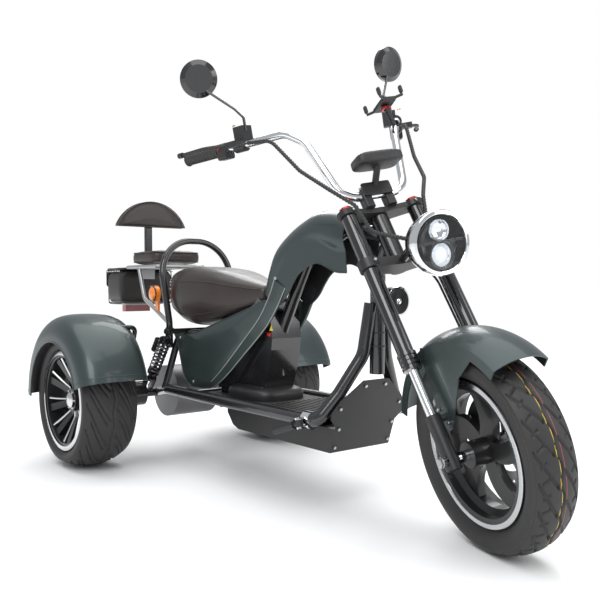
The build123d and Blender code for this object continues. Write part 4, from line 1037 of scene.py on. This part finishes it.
# Zip ties on the down tube
piece = Piece()
for z in (446, 482):
    piece.revolve([(20.2, -2), (21.6, -2), (21.6, 2), (20.2, 2)], (1005.2, 0, z), (0, 0, 1), 32)
piece.made("tube_ties", "chassis", ["black_plastic"], "cable_black")

# Finishes of the solids that show as they are
FINISH = {
    "frame": "frame_black", "horn": "black_satin",
    "battery_box": "black_satin", "front_plate": "black_satin", "footboard": "mat_rubber",
    "pillar": "black_gloss",
    "grab_hoop": "frame_black", "rack": "pale_tube", "backrest_post": "frame_black",
    "tail_lamp": "lamp_red", "marker_lamps": "lamp_orange", "rear_axle": "frame_black",
    "drive_motor": "cast_grey",
    "fender_struts": "frame_black", "peg_clamps": "chrome", "fork_tubes": "black_gloss",
    "fork_caps": "red_metal", "fork_stanchions": "chrome", "fork_lugs": "black_satin",
    "front_axle": "chrome", "lower_clamp": "black_satin", "upper_clamp": "black_satin",
    "handlebar": "chrome", "switchgear": "black_plastic", "brake_levers": "black_satin",
    "mirrors": "black_gloss",
    "headlight_glass": "lens", "front_caliper": "black_satin", "front_fender": "body_green",
    "front_brake_hose": "black_plastic", "front_rim": "cast_black", "front_brake_disc": "steel",
    "rear_rim_right": "cast_black", "rear_rim_left": "cast_black", "foot_peg_right": "black_satin",
    "foot_peg_left": "black_satin",
}
for node, look in FINISH.items():
    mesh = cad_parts[node].data
    mesh.materials.clear()
    mesh.materials.append(materials[look])
    mesh.polygons.foreach_set("material_index", [0] * len(mesh.polygons))

# Studio: pale floor, soft lights, white behind
scene = bpy.context.scene
FLOOR_REACH = 60000
FLOOR_LOW = -1.5


def placed(name, data):
    """A new object of the studio, linked into the scene."""
    obj = bpy.data.objects.new(name, data)
    scene.collection.objects.link(obj)
    return obj


def standing(ways, spot):
    """The matrix of an object whose own X, Y and Z run along three ways from a spot."""
    return Matrix([[way[k] for way in ways] + [spot[k]] for k in range(3)] + [[0, 0, 0, 1]])


corners = [(x * FLOOR_REACH, y * FLOOR_REACH, FLOOR_LOW) for x, y in ((-1, -1), (1, -1), (1, 1), (-1, 1))]
floor_mesh = bpy.data.meshes.new("floor")
floor_mesh.from_pydata(metres(corners).tolist(), [], [[0, 1, 2, 3]])
floor_object = placed("floor", floor_mesh)
floor_mesh.materials.append(finish_of("floor_pale", (0.93, 0.93, 0.93), 0.9, vary=0.0))

world = bpy.data.worlds.new("studio")
scene.world = world
world.use_nodes = True
nodes, links = world.node_tree.nodes, world.node_tree.links
nodes.clear()
out = nodes.new("ShaderNodeOutputWorld")
seen, lit = nodes.new("ShaderNodeBackground"), nodes.new("ShaderNodeBackground")
seen.inputs["Color"].default_value = (1, 1, 1, 1)
seen.inputs["Strength"].default_value = 1.0
lit.inputs["Color"].default_value = (0.95, 0.97, 1.0, 1)
lit.inputs["Strength"].default_value = 0.55
rays = nodes.new("ShaderNodeLightPath")
pick = nodes.new("ShaderNodeMixShader")
links.new(rays.outputs["Is Camera Ray"], pick.inputs["Fac"])
links.new(lit.outputs[0], pick.inputs[1])
links.new(seen.outputs[0], pick.inputs[2])
links.new(pick.outputs[0], out.inputs["Surface"])


def area_light(name, spot, aim, size, power):
    """A square soft light at spot, facing aim; its local -Z is the way it shines."""
    lamp = bpy.data.lights.new(name, "AREA")
    lamp.size, lamp.energy = size, power
    obj = placed(name, lamp)
    back_way = unit(np.array(spot, float) - np.array(aim, float))
    obj.matrix_world = standing((*across(back_way), back_way), spot)


sun = bpy.data.lights.new("sky", "SUN")
sun.energy, sun.angle = 1.9, radians(70)
sun_object = placed("sky", sun)
area_light("key", (2.2, -3.2, 3.4), (0.1, 0, 0.5), 2.4, 90)
area_light("fill", (3.4, 1.6, 2.2), (0.3, 0, 0.5), 2.2, 40)
area_light("back", (-2.4, 2.2, 3.0), (0, 0, 0.5), 2.0, 60)

# Camera where the photo was taken
CAMERA = (2462.7, -1432.7, 611.4)
YAW, PITCH, ROLL = 2.4918, 0.0239, -0.0035
look = np.array([cos(YAW) * cos(PITCH), sin(YAW) * cos(PITCH), -sin(PITCH)])
right = np.array([sin(YAW), -cos(YAW), 0.0])
above = np.cross(right, look)
cam_x = cos(ROLL) * right + sin(ROLL) * above
cam_y = -sin(ROLL) * right + cos(ROLL) * above
camera_data = bpy.data.cameras.new("camera")
camera_data.sensor_width = 36.0
camera_data.lens = 45.816
camera_data.shift_x = 0.0338
camera_data.shift_y = 0.0038
camera_data.clip_start, camera_data.clip_end = 0.05, 100
camera = placed("camera", camera_data)
camera.matrix_world = standing((cam_x, cam_y, -look), metres(CAMERA))
scene.camera = camera
scene.view_settings.view_transform = "Standard"
